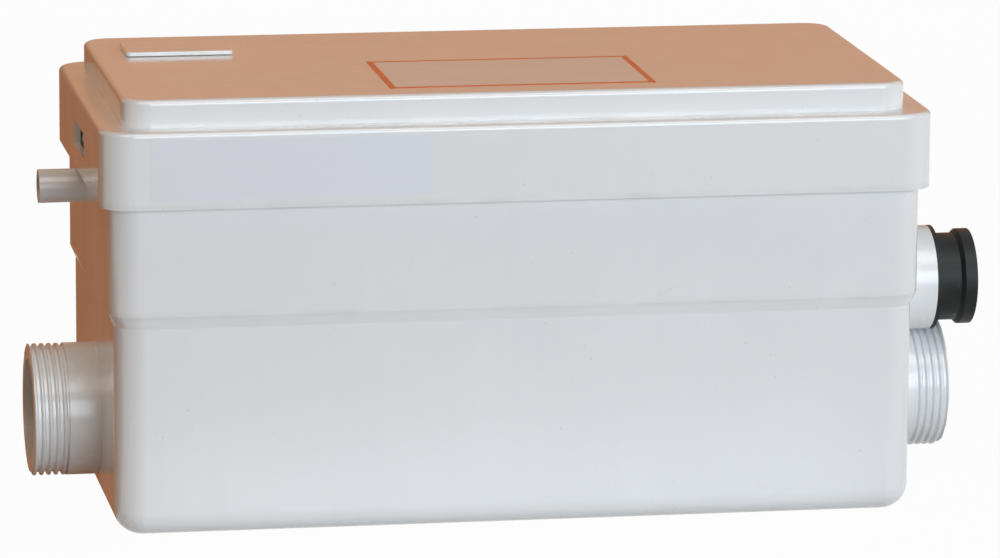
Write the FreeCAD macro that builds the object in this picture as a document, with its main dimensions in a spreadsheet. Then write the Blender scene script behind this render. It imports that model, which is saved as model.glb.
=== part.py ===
"""Sewage lifting station: a tank with a lift-off cover, a submersible pump and a level switch.

Frame: X runs along the tank towards the discharge socket, Y runs to the back, Z is up.
The origin is the centre of the tank's flat underside.  All sizes are millimetres and degrees.
"""
import FreeCAD, Part
import math
import os

import Sketcher

os.makedirs("parts", exist_ok=True)

DIMENSIONS = {
    # Tank shell
    "tank_length": 322.6,
    "tank_depth": 162.6,
    "tank_wall": 2.5,
    "tank_floor": 3.0,
    "tank_rim_height": 155.0,
    "tank_corner": 12.0,
    "tank_bottom_round": 10.0,
    "band_height": 88.5,
    "band_slope": 5.0,
    "band_inset": 2.0,
    # Threaded inlet spigots at both ends
    "inlet_y": -3.0,
    "inlet_height": 36.0,
    "inlet_right_rise": 0.6,
    "inlet_length": 26.7,
    "inlet_outer_radius": 26.5,
    "inlet_thread_root": 25.1,
    "inlet_thread_length": 14.0,
    "inlet_bore_radius": 20.2,
    "inlet_bore_depth": 23.0,
    "inlet_throat_radius": 17.5,
    "seat_lip": 1.8,
    "seat_lip_width": 2.5,
    # Discharge socket, valve and sleeve at the right-hand end
    "socket_y": -20.0,
    "socket_clearance": 2.106,
    "socket_length": 15.3,
    "socket_outer_radius": 21.0,
    "socket_bore_radius": 18.0,
    "socket_boss_inside": 1.5,
    "socket_boss_outside": 1.0,
    "socket_boss_margin": 1.5,
    "sleeve_flange": 1.8,
    "sleeve_reach": 17.0,
    "sleeve_body_radius": 17.7,
    "sleeve_bead_radius": 19.3,
    "sleeve_bead_width": 4.8,
    "sleeve_bore_radius": 16.0,
    "sleeve_plug_length": 12.0,
    "valve_length": 33.0,
    "valve_spigot_length": 13.0,
    "valve_throat_radius": 10.0,
    "valve_flap_radius": 14.0,
    "valve_hinge_gap": 0.5,
    "valve_hinge_half": 5.0,
    "valve_barrel_radius": 2.3,
    "valve_pin_half": 13.5,
    # Vent nipple at the left-hand end
    "nipple_y": 12.0,
    "nipple_drop": 31.0,
    "nipple_length": 18.7,
    "nipple_outer_radius": 6.75,
    "nipple_bore_radius": 4.75,
    # Flaps
    "flap_thickness": 2.5,
    "flap_overlap": 2.2,
    "flap_gap": 0.3,
    "flap_neck_share": 0.75,
    "hinge_pin_radius": 1.4,
    "hinge_barrel_radius": 2.5,
    "hinge_half_width": 9.0,
    "hinge_ear_thickness": 3.0,
    "hinge_depth_share": 0.4,
    "running_clearance": 0.05,
    # Cover
    "skirt_gap": 1.2,
    "skirt_depth": 30.5,
    "cover_wall": 2.5,
    "cover_corner": 13.0,
    "cover_rise": 11.0,
    "cover_ledge_width": 9.5,
    "cover_edge_round": 2.0,
    "cover_rib_thickness": 2.0,
    "cover_rib_depth": 5.0,
    "cover_rib_pitch": 46.0,
    "window_width": 36.0,
    "window_height": 10.0,
    "window_drop": 9.5,
    "catch_gap": 0.3,
    "catch_width": 30.0,
    "catch_height": 6.0,
    "gasket_thickness": 4.2,
    "gasket_gap": 0.3,
    # Vent cover and filter in the cover's top
    "vent_inset_x": 34.5,
    "vent_inset_y": 36.5,
    "vent_length": 43.0,
    "vent_depth": 26.0,
    "vent_thickness": 1.6,
    "vent_edge_round": 0.5,
    "vent_rim": 3.0,
    "vent_gap": 0.3,
    "vent_collar_wall": 1.4,
    "vent_collar_depth": 6.0,
    "basket_wall": 1.6,
    "filter_height": 11.0,
    "filter_groove_depth": 6.6,
    "slot_pitch_share": 0.36,
    "slot_half_share": 0.08,
    "slot_length_share": 0.8,
    # Deck that closes the sump and carries the electrics
    "deck_drop": 26.0,
    "deck_thickness": 3.0,
    "deck_gap": 0.5,
    "deck_slots": 4,
    "pillar_radius": 5.0,
    "pillar_inset": 9.0,
    "pillar_middle_x": -32.0,
    "screw_radius": 1.5,
    "screw_head_radius": 3.0,
    "screw_head_height": 2.2,
    "screw_length": 12.0,
    "screw_clearance": 0.1,
    "screw_end_gap": 0.5,
    # Pump
    "pump_distance": 92.3,
    "nozzle_offset": 36.0,
    "nozzle_margin": 0.5,
    "pump_foot_height": 8.0,
    "pump_foot_radius": 7.0,
    "pump_foot_taper": 0.8,
    "pump_foot_circle": 38.0,
    "suction_plate_thickness": 3.0,
    "suction_eye_radius": 14.0,
    "casing_top_wall": 5.0,
    "casing_wall": 3.0,
    "volute_gap": 4.0,
    "volute_step": 2.6,
    "nozzle_bore_radius": 9.5,
    "nozzle_length": 54.0,
    "ear_radius": 5.5,
    "ear_reach_share": 0.4,
    "casing_neck_radius": 20.0,
    # Hose from the pump to the valve
    "hose_wall": 2.2,
    "hose_bend_radius": 18.0,
    "hose_grip": 12.0,
    "hose_straight": 2.0,
    "hose_end_gap": 1.0,
    "clamp_width": 7.0,
    "clamp_band": 0.8,
    "clamp_inset": 2.0,
    "clamp_lug_width": 5.0,
    "clamp_lug_height": 3.6,
    # Impeller
    "impeller_radius": 36.0,
    "impeller_shroud": 3.0,
    "impeller_rim_share": 0.4,
    "impeller_vane_height": 12.5,
    "impeller_vane_gap": 0.5,
    "impeller_vane_thickness": 2.4,
    "impeller_vane_curve": 26.0,
    "impeller_vane_root_share": 0.7,
    "impeller_vanes": 6,
    "impeller_hub_radius": 8.0,
    "impeller_hub_taper": 0.8,
    "impeller_gap": 1.0,
    # Motor
    "motor_radius": 46.0,
    "motor_wall": 3.0,
    "motor_clearance": 9.0,
    "motor_rib": 2.0,
    "motor_rib_root": 0.25,
    "motor_rib_end_gap": 4.0,
    "motor_ribs": 16,
    "seal_plate_thickness": 6.0,
    "motor_cap_thickness": 6.0,
    "motor_cap_spigot": 3.0,
    "motor_cap_drop": 2.0,
    "motor_cap_slope": 4.0,
    "tie_screw_offset": 4.5,
    "stator_bore_radius": 24.0,
    "stator_slots": 18,
    "slot_mouth": 1.5,
    "slot_mouth_width": 1.8,
    "slot_width": 4.2,
    "slot_depth": 10.0,
    "winding_room": 16.0,
    "winding_height": 11.0,
    "winding_gap": 0.3,
    "winding_round": 2.5,
    "winding_overhang": 2.0,
    "air_gap": 0.5,
    "end_ring_inset": 3.0,
    "end_ring_width": 5.0,
    "end_ring_height": 5.0,
    "shaft_radius": 6.0,
    "lower_journal_radius": 5.0,
    "upper_journal_radius": 4.0,
    "impeller_journal_radius": 4.0,
    "shaft_hole_gap": 0.6,
    "nut_thread_radius": 3.0,
    "nut_width": 10.0,
    "nut_height": 4.0,
    "lower_bearing_radius": 13.0,
    "lower_bearing_width": 8.0,
    "lower_bearing_lift": 2.0,
    "upper_bearing_radius": 11.0,
    "upper_bearing_width": 7.0,
    "upper_bearing_drop": 1.0,
    "bearing_rim_share": 0.22,
    "bearing_sink_share": 0.07,
    "seal_radius": 10.0,
    "seal_height": 7.0,
    "seal_lip": 2.0,
    # Level switch
    "bell_x": -72.0,
    "bell_y": 14.0,
    "bell_mouth_height": 14.0,
    "bell_slot_width": 6.0,
    "bell_slot_height": 8.0,
    "bell_radius": 18.0,
    "bell_wall": 2.0,
    "bell_throat_radius": 4.0,
    "bell_flange_radius": 26.0,
    "bell_flange_thickness": 3.0,
    "bell_rim_width": 4.0,
    "bell_recess": 1.0,
    "diaphragm_thickness": 1.2,
    "fold_inset": 7.0,
    "fold_depth": 0.8,
    "fold_width": 2.0,
    "switch_cap_height": 12.0,
    "switch_cap_wall": 2.0,
    "switch_cap_rim": 5.0,
    "switch_cap_taper": 4.0,
    "plunger_radius": 3.0,
    "plunger_disc_radius": 12.0,
    "plunger_disc_thickness": 2.0,
    "plunger_cone": 1.0,
    "plunger_proud": 1.0,
    "plunger_travel": 1.5,
    "microswitch_length": 20.0,
    "microswitch_depth": 7.0,
    "microswitch_height": 11.0,
    "microswitch_hole_pitch": 14.4,
    "button_radius": 1.6,
    "button_height": 2.5,
    "bracket_margin": 3.0,
    "bracket_thickness": 2.0,
    "bracket_lift": 0.5,
    "bracket_inset": 1.0,
    # Electrics on the deck
    "capacitor_radius": 13.0,
    "capacitor_length": 56.0,
    "capacitor_round": 1.5,
    "capacitor_x": 6.0,
    "capacitor_y": -44.0,
    "tab_thickness": 0.8,
    "tab_width": 6.3,
    "tab_length": 7.0,
    "clip_width": 14.0,
    "clip_wall": 1.5,
    "clip_foot": 8.0,
    "clip_mouth": 6.0,
    "terminal_x": 78.0,
    "terminal_y": -30.0,
    "terminal_length": 40.0,
    "terminal_depth": 17.0,
    "terminal_height": 14.0,
    "terminal_shoulder_share": 0.6,
    "terminal_well_radius": 2.2,
    "terminal_wire_radius": 1.8,
    "terminal_wire_share": 0.32,
    "terminal_poles": 4,
    "gland_x": 92.0,
    "gland_drop": 11.0,
    "gland_thread_radius": 6.0,
    "gland_thread_proud": 2.0,
    "gland_flange_radius": 9.0,
    "gland_flange_thickness": 3.0,
    "gland_bore_radius": 3.6,
    "gland_cap_length": 11.0,
    "gland_cap_wall": 1.5,
    "gland_cap_bevel": 3.0,
    "gland_nut_thickness": 4.0,
    "notch_width": 24.0,
}

doc = FreeCAD.newDocument("LiftingStation")
sheet = doc.addObject("Spreadsheet::Sheet", "Sizes")
for row, (alias, number) in enumerate(DIMENSIONS.items(), start=1):
    sheet.set(f"A{row}", alias)
    sheet.set(f"B{row}", str(number))
    sheet.setAlias(f"B{row}", alias)
doc.recompute()


class Size:
    """A length, angle or count that knows its number and its expression on the sheet."""

    def __init__(self, number, text):
        self.number = number
        self.text = text

    def __add__(self, other):
        other = as_size(other)
        return Size(self.number + other.number, f"({self.text} + {other.text})")

    def __radd__(self, other):
        return as_size(other) + self

    def __sub__(self, other):
        other = as_size(other)
        return Size(self.number - other.number, f"({self.text} - {other.text})")

    def __rsub__(self, other):
        return as_size(other) - self

    def __mul__(self, other):
        other = as_size(other)
        return Size(self.number * other.number, f"({self.text} * {other.text})")

    def __rmul__(self, other):
        return as_size(other) * self

    def __truediv__(self, other):
        other = as_size(other)
        return Size(self.number / other.number, f"({self.text} / {other.text})")

    def __neg__(self):
        return Size(-self.number, f"(-1 * {self.text})")

    def root(self):
        """Give the square root."""
        return Size(math.sqrt(self.number), f"sqrt({self.text})")


def as_size(value):
    """Turn a plain number into a Size, and leave a Size as it is."""
    if isinstance(value, Size):
        return value
    return Size(float(value), repr(float(value)))


class Dimensions:
    """The sheet's cells by name."""

    def __getattr__(self, name):
        return Size(float(sheet.get(name)), f"Sizes.{name}")


d = Dimensions()
nodes = []


def bind(item, path, value):
    """Tie one property of an object to the sheet."""
    item.setExpression(path, as_size(value).text)


def keep(item, label):
    """Name an object as a finished sub-part."""
    item.Label = label
    nodes.append(item)
    return item


def place(item, x=0, y=0, z=0):
    """Set an object's position from the sheet."""
    bind(item, "Placement.Base.x", x)
    bind(item, "Placement.Base.y", y)
    bind(item, "Placement.Base.z", z)
    return item


def new_body(name):
    """Start a part design body with its own origin planes."""
    return doc.addObject("PartDesign::Body", name)


def new_sketch(body, plane, level=0):
    """Attach a sketch to one of the body's origin planes, level away from it along its normal."""
    sketch = body.newObject("Sketcher::SketchObject", "Sketch")
    origin_plane = next(item for item in body.Origin.OriginFeatures if item.Role == plane)
    sketch.AttachmentSupport = (origin_plane, [""])
    sketch.MapMode = "FlatFace"
    bind(sketch, "AttachmentOffset.Base.z", level)
    return sketch


def constrain(sketch, kind, first, first_point, second, second_point, value):
    """Add one dimension to a sketch and tie it to the sheet."""
    value = as_size(value)
    index = sketch.addConstraint(
        Sketcher.Constraint(kind, first, first_point, second, second_point, value.number)
    )
    sketch.setExpression(f"Constraints[{index}]", value.text)


def hold_point(sketch, geometry, point, x, y):
    """Hold a point of the sketch at a place measured from its origin."""
    constrain(sketch, "DistanceX", -1, 1, geometry, point, x)
    constrain(sketch, "DistanceY", -1, 1, geometry, point, y)


def polygon(sketch, points):
    """Draw a closed outline through points."""
    points = [(as_size(x), as_size(y)) for x, y in points]
    first = sketch.GeometryCount
    count = len(points)
    for index, (x, y) in enumerate(points):
        next_x, next_y = points[(index + 1) % count]
        start = FreeCAD.Vector(x.number, y.number, 0)
        end = FreeCAD.Vector(next_x.number, next_y.number, 0)
        sketch.addGeometry(Part.LineSegment(start, end), False)
    joints = []
    for index in range(count):
        following = first + (index + 1) % count
        joints.append(Sketcher.Constraint("Coincident", first + index, 2, following, 1))
    sketch.addConstraint(joints)
    for index, (x, y) in enumerate(points):
        hold_point(sketch, first + index, 1, x, y)


def rectangle(sketch, x, y, half_x, half_y):
    """Draw a rectangle about a centre."""
    corners = [(x - half_x, y - half_y), (x + half_x, y - half_y)]
    corners += [(x + half_x, y + half_y), (x - half_x, y + half_y)]
    polygon(sketch, corners)


def circle(sketch, x, y, radius):
    """Draw a circle."""
    x, y, radius = as_size(x), as_size(y), as_size(radius)
    centre = FreeCAD.Vector(x.number, y.number, 0)
    normal = FreeCAD.Vector(0, 0, 1)
    index = sketch.addGeometry(Part.Circle(centre, normal, radius.number), False)
    hold_point(sketch, index, 3, x, y)
    held = sketch.addConstraint(Sketcher.Constraint("Radius", index, radius.number))
    sketch.setExpression(f"Constraints[{held}]", radius.text)


def rounded_rectangle(sketch, x, y, half_x, half_y, radius):
    """Draw a rectangle with round corners about a centre."""
    x, y, radius = as_size(x), as_size(y), as_size(radius)
    left, right = x - half_x, x + half_x
    low, high = y - half_y, y + half_y
    corner = radius.number
    straight = [
        (left.number + corner, low.number, right.number - corner, low.number),
        (right.number, low.number + corner, right.number, high.number - corner),
        (right.number - corner, high.number, left.number + corner, high.number),
        (left.number, high.number - corner, left.number, low.number + corner),
    ]
    centres = [
        (right.number - corner, low.number + corner),
        (right.number - corner, high.number - corner),
        (left.number + corner, high.number - corner),
        (left.number + corner, low.number + corner),
    ]
    first = sketch.GeometryCount
    normal = FreeCAD.Vector(0, 0, 1)
    for index in range(4):
        x1, y1, x2, y2 = straight[index]
        line = Part.LineSegment(FreeCAD.Vector(x1, y1, 0), FreeCAD.Vector(x2, y2, 0))
        sketch.addGeometry(line, False)
        round_corner = Part.Circle(FreeCAD.Vector(*centres[index], 0), normal, corner)
        start = math.radians(90 * index - 90)
        sketch.addGeometry(Part.ArcOfCircle(round_corner, start, start + math.pi / 2), False)
    held = []
    for index in range(4):
        line, arc = first + 2 * index, first + 2 * index + 1
        following = first + (2 * index + 2) % 8
        held.append(Sketcher.Constraint("Tangent", line, 2, arc, 1))
        held.append(Sketcher.Constraint("Tangent", arc, 2, following, 1))
        held.append(Sketcher.Constraint("Horizontal" if index % 2 == 0 else "Vertical", line))
    for index in range(1, 4):
        held.append(Sketcher.Constraint("Equal", first + 1, first + 2 * index + 1))
    sketch.addConstraint(held)
    size = sketch.addConstraint(Sketcher.Constraint("Radius", first + 1, corner))
    sketch.setExpression(f"Constraints[{size}]", radius.text)
    constrain(sketch, "DistanceY", -1, 1, first, 1, low)
    constrain(sketch, "DistanceX", -1, 1, first + 2, 1, right)
    constrain(sketch, "DistanceY", -1, 1, first + 4, 1, high)
    constrain(sketch, "DistanceX", -1, 1, first + 6, 1, left)


def pad(body, sketch, length, back=False, both=False):
    """Raise a sketch along its normal, against it, or evenly both ways."""
    feature = body.newObject("PartDesign::Pad", "Pad")
    feature.Profile = sketch
    feature.Reversed = back
    feature.Midplane = both
    bind(feature, "Length", length)
    return feature


def pocket(body, sketch, length, back=False, both=False):
    """Cut a sketch into the body: along its normal when back is set, or evenly both ways."""
    feature = body.newObject("PartDesign::Pocket", "Pocket")
    feature.Profile = sketch
    feature.Reversed = back
    feature.Midplane = both
    bind(feature, "Length", length)
    return feature


def revolve(body, points, plane="XZ_Plane", axis="V_Axis"):
    """Turn a closed outline about a sketch axis."""
    sketch = new_sketch(body, plane)
    polygon(sketch, points)
    feature = body.newObject("PartDesign::Revolution", "Revolution")
    feature.Profile = sketch
    feature.ReferenceAxis = (sketch, [axis])
    feature.Angle = 360
    return feature


def polar(body, feature, sketch, count):
    """Repeat a feature evenly round the normal through the sketch's origin."""
    pattern = body.newObject("PartDesign::PolarPattern", "PolarPattern")
    pattern.Originals = [feature]
    pattern.Axis = (sketch, ["N_Axis"])
    pattern.Angle = 360
    bind(pattern, "Occurrences", count)
    body.Tip = pattern
    return pattern


def fillet(body, radius, chosen):
    """Round the edges of the body's tip that chosen picks."""
    doc.recompute()
    tip = body.Tip
    names = [f"Edge{index}" for index, edge in enumerate(tip.Shape.Edges, 1) if chosen(edge)]
    if not names:
        raise RuntimeError(f"{body.Name} has no edge to round")
    feature = body.newObject("PartDesign::Fillet", "Fillet")
    feature.Base = (tip, names)
    bind(feature, "Radius", radius)
    return feature


def at_height(height, margin=1e-4):
    """Pick edges that lie wholly at one height."""

    def chosen(edge):
        return all(abs(vertex.Z - height.number) < margin for vertex in edge.Vertexes)

    return chosen


def box(name, low, size):
    """Make a box from its low corner."""
    item = doc.addObject("Part::Box", name)
    bind(item, "Length", size[0])
    bind(item, "Width", size[1])
    bind(item, "Height", size[2])
    return place(item, *low)


AXIS_TURN = {
    "Z": FreeCAD.Rotation(),
    "X": FreeCAD.Rotation(FreeCAD.Vector(0, 1, 0), 90),
    "Y": FreeCAD.Rotation(FreeCAD.Vector(1, 0, 0), -90),
}


def cylinder(name, base, radius, height, axis="Z"):
    """Make a cylinder that runs from its base along a positive axis."""
    item = doc.addObject("Part::Cylinder", name)
    bind(item, "Radius", radius)
    bind(item, "Height", height)
    item.Placement = FreeCAD.Placement(FreeCAD.Vector(), AXIS_TURN[axis])
    return place(item, *base)


def cut(name, base, *tools):
    """Take tools away from a base shape."""
    item = doc.addObject("Part::Cut", name)
    item.Base = base
    item.Tool = tools[0] if len(tools) == 1 else fuse(f"{name}_tools", *tools)
    return item


def fuse(name, *shapes):
    """Join shapes into one solid."""
    item = doc.addObject("Part::MultiFuse", name)
    item.Shapes = list(shapes)
    return item


def group(name, items):
    """Keep like solids together as one sub-part."""
    item = doc.addObject("Part::Compound", name)
    item.Links = list(items)
    return item


def screw(name, x, y, seat, length, radius):
    """Make a pan-head screw that hangs from the height of its seat."""
    shank = cylinder(f"{name}_shank", (x, y, seat - length), radius, length)
    head = cylinder(f"{name}_head", (x, y, seat), d.screw_head_radius, d.screw_head_height)
    return fuse(name, shank, head)


def polar_places(radius, count, start=0.0):
    """Give the places of count points evenly round a circle about the local axis."""
    places = []
    for index in range(count):
        angle = math.radians(start + 360 * index / count)
        places.append((radius * math.cos(angle), radius * math.sin(angle)))
    return places


# Tank, cover and deck
half_length = d.tank_length / 2
half_depth = d.tank_depth / 2
body_half_length = half_length - d.band_inset
body_half_depth = half_depth - d.band_inset
end_wall_inside = body_half_length - d.tank_wall
cover_half_length = half_length + d.skirt_gap + d.cover_wall
cover_half_depth = half_depth + d.skirt_gap + d.cover_wall
raised_half_length = cover_half_length - d.cover_ledge_width
raised_half_depth = cover_half_depth - d.cover_ledge_width
gasket_top = d.tank_rim_height + d.gasket_thickness
ledge_height = gasket_top + d.gasket_gap + d.cover_wall
cover_base = ledge_height - d.skirt_depth
cover_top = ledge_height + d.cover_rise
window_centre = d.tank_rim_height - d.window_drop
gland_height = d.tank_rim_height - d.gland_drop
deck_height = d.tank_rim_height - d.deck_drop
deck_top = deck_height + d.deck_thickness
pillar_x = half_length - d.tank_wall - d.pillar_inset
pillar_y = half_depth - d.tank_wall - d.pillar_inset
pillar_places = [(side * pillar_x, end * pillar_y) for side in (-1, 1) for end in (-1, 1)]
pillar_places += [(d.pillar_middle_x, end * pillar_y) for end in (-1, 1)]

# Vent cover and filter
vent_x = d.vent_inset_x - raised_half_length
vent_y = raised_half_depth - d.vent_inset_y
collar_foot = cover_top - d.vent_collar_depth
filter_foot = collar_foot - d.filter_height
basket_floor = filter_foot - d.vent_gap
SLOT_STEPS = range(-2, 3)

# Inlets, nipple and discharge
inlet_reach = body_half_length + d.inlet_length
inlet_heights = {-1: d.inlet_height, 1: d.inlet_height + d.inlet_right_rise}
seat_face = end_wall_inside - d.seat_lip
hinge_offset = d.flap_gap + d.flap_thickness * d.hinge_depth_share
flap_radius = d.inlet_throat_radius + d.flap_overlap
hinge_rise = flap_radius + d.hinge_barrel_radius
pin_hole = d.hinge_pin_radius + d.running_clearance
nipple_height = d.tank_rim_height - d.nipple_drop
nipple_reach = half_length + d.nipple_length
spigot_distance = d.inlet_outer_radius + d.socket_outer_radius + d.socket_clearance
spigot_shift = d.inlet_y - d.socket_y
socket_rise = (spigot_distance * spigot_distance - spigot_shift * spigot_shift).root()
socket_height = d.inlet_height + d.inlet_right_rise + socket_rise
boss_face = half_length + d.socket_boss_outside
socket_reach = boss_face + d.socket_length
valve_back = end_wall_inside - d.socket_boss_inside
valve_front = valve_back - d.valve_length
valve_seat = valve_front + d.valve_spigot_length + d.casing_wall
valve_hinge_x = valve_seat + hinge_offset
valve_hinge_rise = d.valve_flap_radius + d.valve_hinge_gap

# Pump
pump_x = valve_front - d.pump_distance
pump_y = d.socket_y + d.nozzle_offset
plate_height = d.tank_floor + d.pump_foot_height
casing_bottom = plate_height + d.suction_plate_thickness
nut_top = casing_bottom + d.impeller_gap + d.nut_height
vane_foot = nut_top
shroud_foot = vane_foot + d.impeller_vane_height
shroud_top = shroud_foot + d.impeller_shroud
casing_top = shroud_top + d.impeller_gap / 2 + d.casing_top_wall
casing_height = casing_top - casing_bottom
nozzle_radius = casing_height / 2 - d.nozzle_margin
nozzle_height = casing_bottom + casing_height / 2
nozzle_end = pump_x + d.nozzle_length
hose_bore = nozzle_radius + d.screw_clearance
hose_start = nozzle_end - d.hose_grip
hose_riser = nozzle_end + d.hose_bend_radius + d.hose_straight
hose_end = valve_front + d.valve_spigot_length - d.hose_end_gap
foot_places = polar_places(d.pump_foot_circle, 3, 90)
screw_hole = d.screw_radius + d.screw_clearance

# Motor
seal_plate_top = casing_top + d.seal_plate_thickness
motor_top = deck_height - d.motor_clearance - d.motor_cap_thickness
stack_foot = seal_plate_top + d.winding_room
stack_top = motor_top - d.winding_room
stator_stack = stack_top - stack_foot
slot_middle = d.stator_bore_radius + d.slot_mouth + d.slot_depth / 2
lower_bearing_foot = seal_plate_top + d.lower_bearing_lift
upper_bearing_foot = motor_top - d.upper_bearing_width - d.upper_bearing_drop
seal_foot = casing_top - d.casing_top_wall
seal_pocket = d.seal_radius + d.running_clearance
shaft_hole = d.lower_journal_radius + d.shaft_hole_gap
cap_seat = motor_top + d.motor_cap_thickness - d.motor_cap_drop
tie_places = polar_places(d.motor_radius + d.tie_screw_offset, 4, 30)

# Level switch and capacitor
flange_top = deck_top + d.bell_flange_thickness
cap_foot = flange_top + d.diaphragm_thickness
cap_top = cap_foot + d.switch_cap_height
plunger_foot = cap_foot + d.flap_gap
plunger_top = cap_top + d.plunger_travel + d.plunger_proud
button_foot = plunger_top + d.running_clearance
microswitch_foot = button_foot + d.button_height
capacitor_height = deck_top + d.capacitor_radius + d.clip_wall

# Corners of the square that the casing's spiral turns about, and the angles of its screw ears
SPIRAL_CENTRES = ((1, 1), (-1, 1), (-1, -1), (1, -1))
EAR_ANGLES = (18, 100, 172, 232)


def spiral(sketch, margin):
    """Draw the casing's closed spiral outline, margin outside the chamber.

    Four quarter arcs turn about the corners of a small square, so that neighbours share a
    tangent.  The spiral opens anticlockwise and is widest at the front, where the nozzle leaves.
    """
    half = d.volute_step.number / 2
    ends = []
    for index, (side_x, side_y) in enumerate(SPIRAL_CENTRES):
        centre = FreeCAD.Vector(side_x * half, side_y * half, 0)
        radius = spiral_radius(index, margin).number
        start = math.radians(90 * index - 90)
        ring = Part.Circle(centre, FreeCAD.Vector(0, 0, 1), radius)
        arc = Part.ArcOfCircle(ring, start, start + math.pi / 2)
        ends.append((arc.StartPoint, arc.EndPoint))
        sketch.addGeometry(arc, False)
    sketch.addGeometry(Part.LineSegment(ends[3][1], ends[0][0]), False)


def spiral_radius(index, margin):
    """Give the radius of one quarter of the spiral."""
    return d.impeller_radius + d.volute_gap + margin + index * d.volute_step


def ear_places():
    """Give the centres of the casing's screw ears, just outside the spiral wall."""
    places = []
    half = d.volute_step / 2
    for angle in EAR_ANGLES:
        index = int((angle + 90) // 90)
        side_x, side_y = SPIRAL_CENTRES[index]
        reach = spiral_radius(index, d.casing_wall) + d.ear_radius * d.ear_reach_share
        turn = math.radians(angle)
        places.append((side_x * half + reach * math.cos(turn), side_y * half + reach * math.sin(turn)))
    return places


def loft(body, first, last):
    """Join two outlines by straight walls."""
    feature = body.newObject("PartDesign::AdditiveLoft", "Loft")
    feature.Profile = first
    feature.Sections = [last]
    feature.Ruled = True
    return feature


def make_tank():
    """Make the tank shell with its inlet seats, socket boss, nipple hole, pillars and catches."""
    body = new_body("Tank")
    slope_start = d.band_height - d.band_slope
    lower = new_sketch(body, "XY_Plane")
    rounded_rectangle(lower, 0, 0, body_half_length, body_half_depth, d.tank_corner)
    pad(body, lower, slope_start)
    slope_foot = new_sketch(body, "XY_Plane", slope_start)
    rounded_rectangle(slope_foot, 0, 0, body_half_length, body_half_depth, d.tank_corner)
    slope_top = new_sketch(body, "XY_Plane", d.band_height)
    rounded_rectangle(slope_top, 0, 0, half_length, half_depth, d.tank_corner)
    loft(body, slope_foot, slope_top)
    band = new_sketch(body, "XY_Plane", d.band_height)
    rounded_rectangle(band, 0, 0, half_length, half_depth, d.tank_corner)
    pad(body, band, d.tank_rim_height - d.band_height)
    inner_corner = d.tank_corner - d.tank_wall
    upper = new_sketch(body, "XY_Plane", d.tank_rim_height)
    rounded_rectangle(upper, 0, 0, half_length - d.tank_wall, half_depth - d.tank_wall, inner_corner)
    pocket(body, upper, d.tank_rim_height - d.band_height)
    sump = new_sketch(body, "XY_Plane", d.band_height)
    rounded_rectangle(sump, 0, 0, end_wall_inside, body_half_depth - d.tank_wall, inner_corner)
    pocket(body, sump, d.band_height - d.tank_floor)
    fillet(body, d.tank_bottom_round - d.tank_floor, at_height(d.tank_floor))
    fillet(body, d.tank_bottom_round, at_height(as_size(0)))
    add_pillars(body)
    add_foot_sockets(body)
    for side in (-1, 1):
        add_inlet_seat(body, side)
        add_catch(body, side)
    add_socket_boss(body)
    add_nipple_hole(body)
    gland_hole = new_sketch(body, "XZ_Plane", d.tank_wall / 2 - half_depth)
    circle(gland_hole, d.gland_x, gland_height, d.gland_thread_radius + d.screw_clearance)
    pocket(body, gland_hole, d.tank_wall * 3, both=True)
    return keep(body, "tank")


def add_pillars(body):
    """Raise the screw pillars that carry the deck, each tied to the wall by a web."""
    height = deck_height - d.tank_floor
    pillars = new_sketch(body, "XY_Plane", d.tank_floor)
    for x, y in pillar_places:
        circle(pillars, x, y, d.pillar_radius)
    pad(body, pillars, height)
    webs = new_sketch(body, "XY_Plane", d.tank_floor)
    for x, y in pillar_places:
        outward = 1 if y.number > 0 else -1
        web_half = (body_half_depth - d.tank_wall / 2 - pillar_y) / 2
        rectangle(webs, x, y + outward * web_half, d.cover_rib_thickness / 2, web_half)
    pad(body, webs, height - d.screw_length)
    drill(body, pillar_places, deck_height, d.screw_length, screw_hole)


def add_foot_sockets(body):
    """Raise the low rings that keep the pump's feet in place."""
    sockets = new_sketch(body, "XY_Plane", d.tank_floor)
    inner = d.pump_foot_radius + d.flap_gap
    for x, y in foot_places:
        circle(sockets, pump_x + x, pump_y + y, inner)
        circle(sockets, pump_x + x, pump_y + y, inner + d.cover_rib_thickness)
    pad(body, sockets, d.tank_floor)


def add_inlet_seat(body, side):
    """Open one end wall for its inlet, with the flap's raised seat and hinge ears inside."""
    inward = side > 0
    ears = new_sketch(body, "YZ_Plane", side * end_wall_inside)
    ear_y = d.hinge_half_width + d.flap_gap + d.hinge_ear_thickness / 2
    height = inlet_heights[side]
    hinge_z = height + hinge_rise
    for end in (-1, 1):
        ear_half = d.hinge_ear_thickness / 2
        rectangle(ears, d.inlet_y + end * ear_y, hinge_z, ear_half, d.hinge_barrel_radius)
    pad(body, ears, d.seat_lip + hinge_offset + d.hinge_barrel_radius, back=inward)
    pin = new_sketch(body, "XZ_Plane", -d.inlet_y)
    circle(pin, side * (seat_face - hinge_offset), hinge_z, pin_hole)
    pocket(body, pin, 2 * (ear_y + d.hinge_ear_thickness), both=True)
    lip = new_sketch(body, "YZ_Plane", side * end_wall_inside)
    circle(lip, d.inlet_y, height, d.inlet_throat_radius + d.seat_lip_width)
    pad(body, lip, d.seat_lip, back=inward)
    throat = new_sketch(body, "YZ_Plane", side * seat_face)
    circle(throat, d.inlet_y, height, d.inlet_throat_radius)
    pocket(body, throat, body_half_length - seat_face, back=inward)


def add_catch(body, side):
    """Add the wedge on one end wall that the cover's window snaps over."""
    catch = new_sketch(body, "XZ_Plane", -d.inlet_y)
    proud = side * (half_length + d.skirt_gap - d.catch_gap)
    low = window_centre - d.catch_height / 2
    high = window_centre + d.catch_height / 2
    root = side * (half_length - d.tank_wall / 2)
    polygon(catch, [(root, low), (proud, low), (side * half_length, high), (root, high)])
    pad(body, catch, d.catch_width, both=True)


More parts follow.
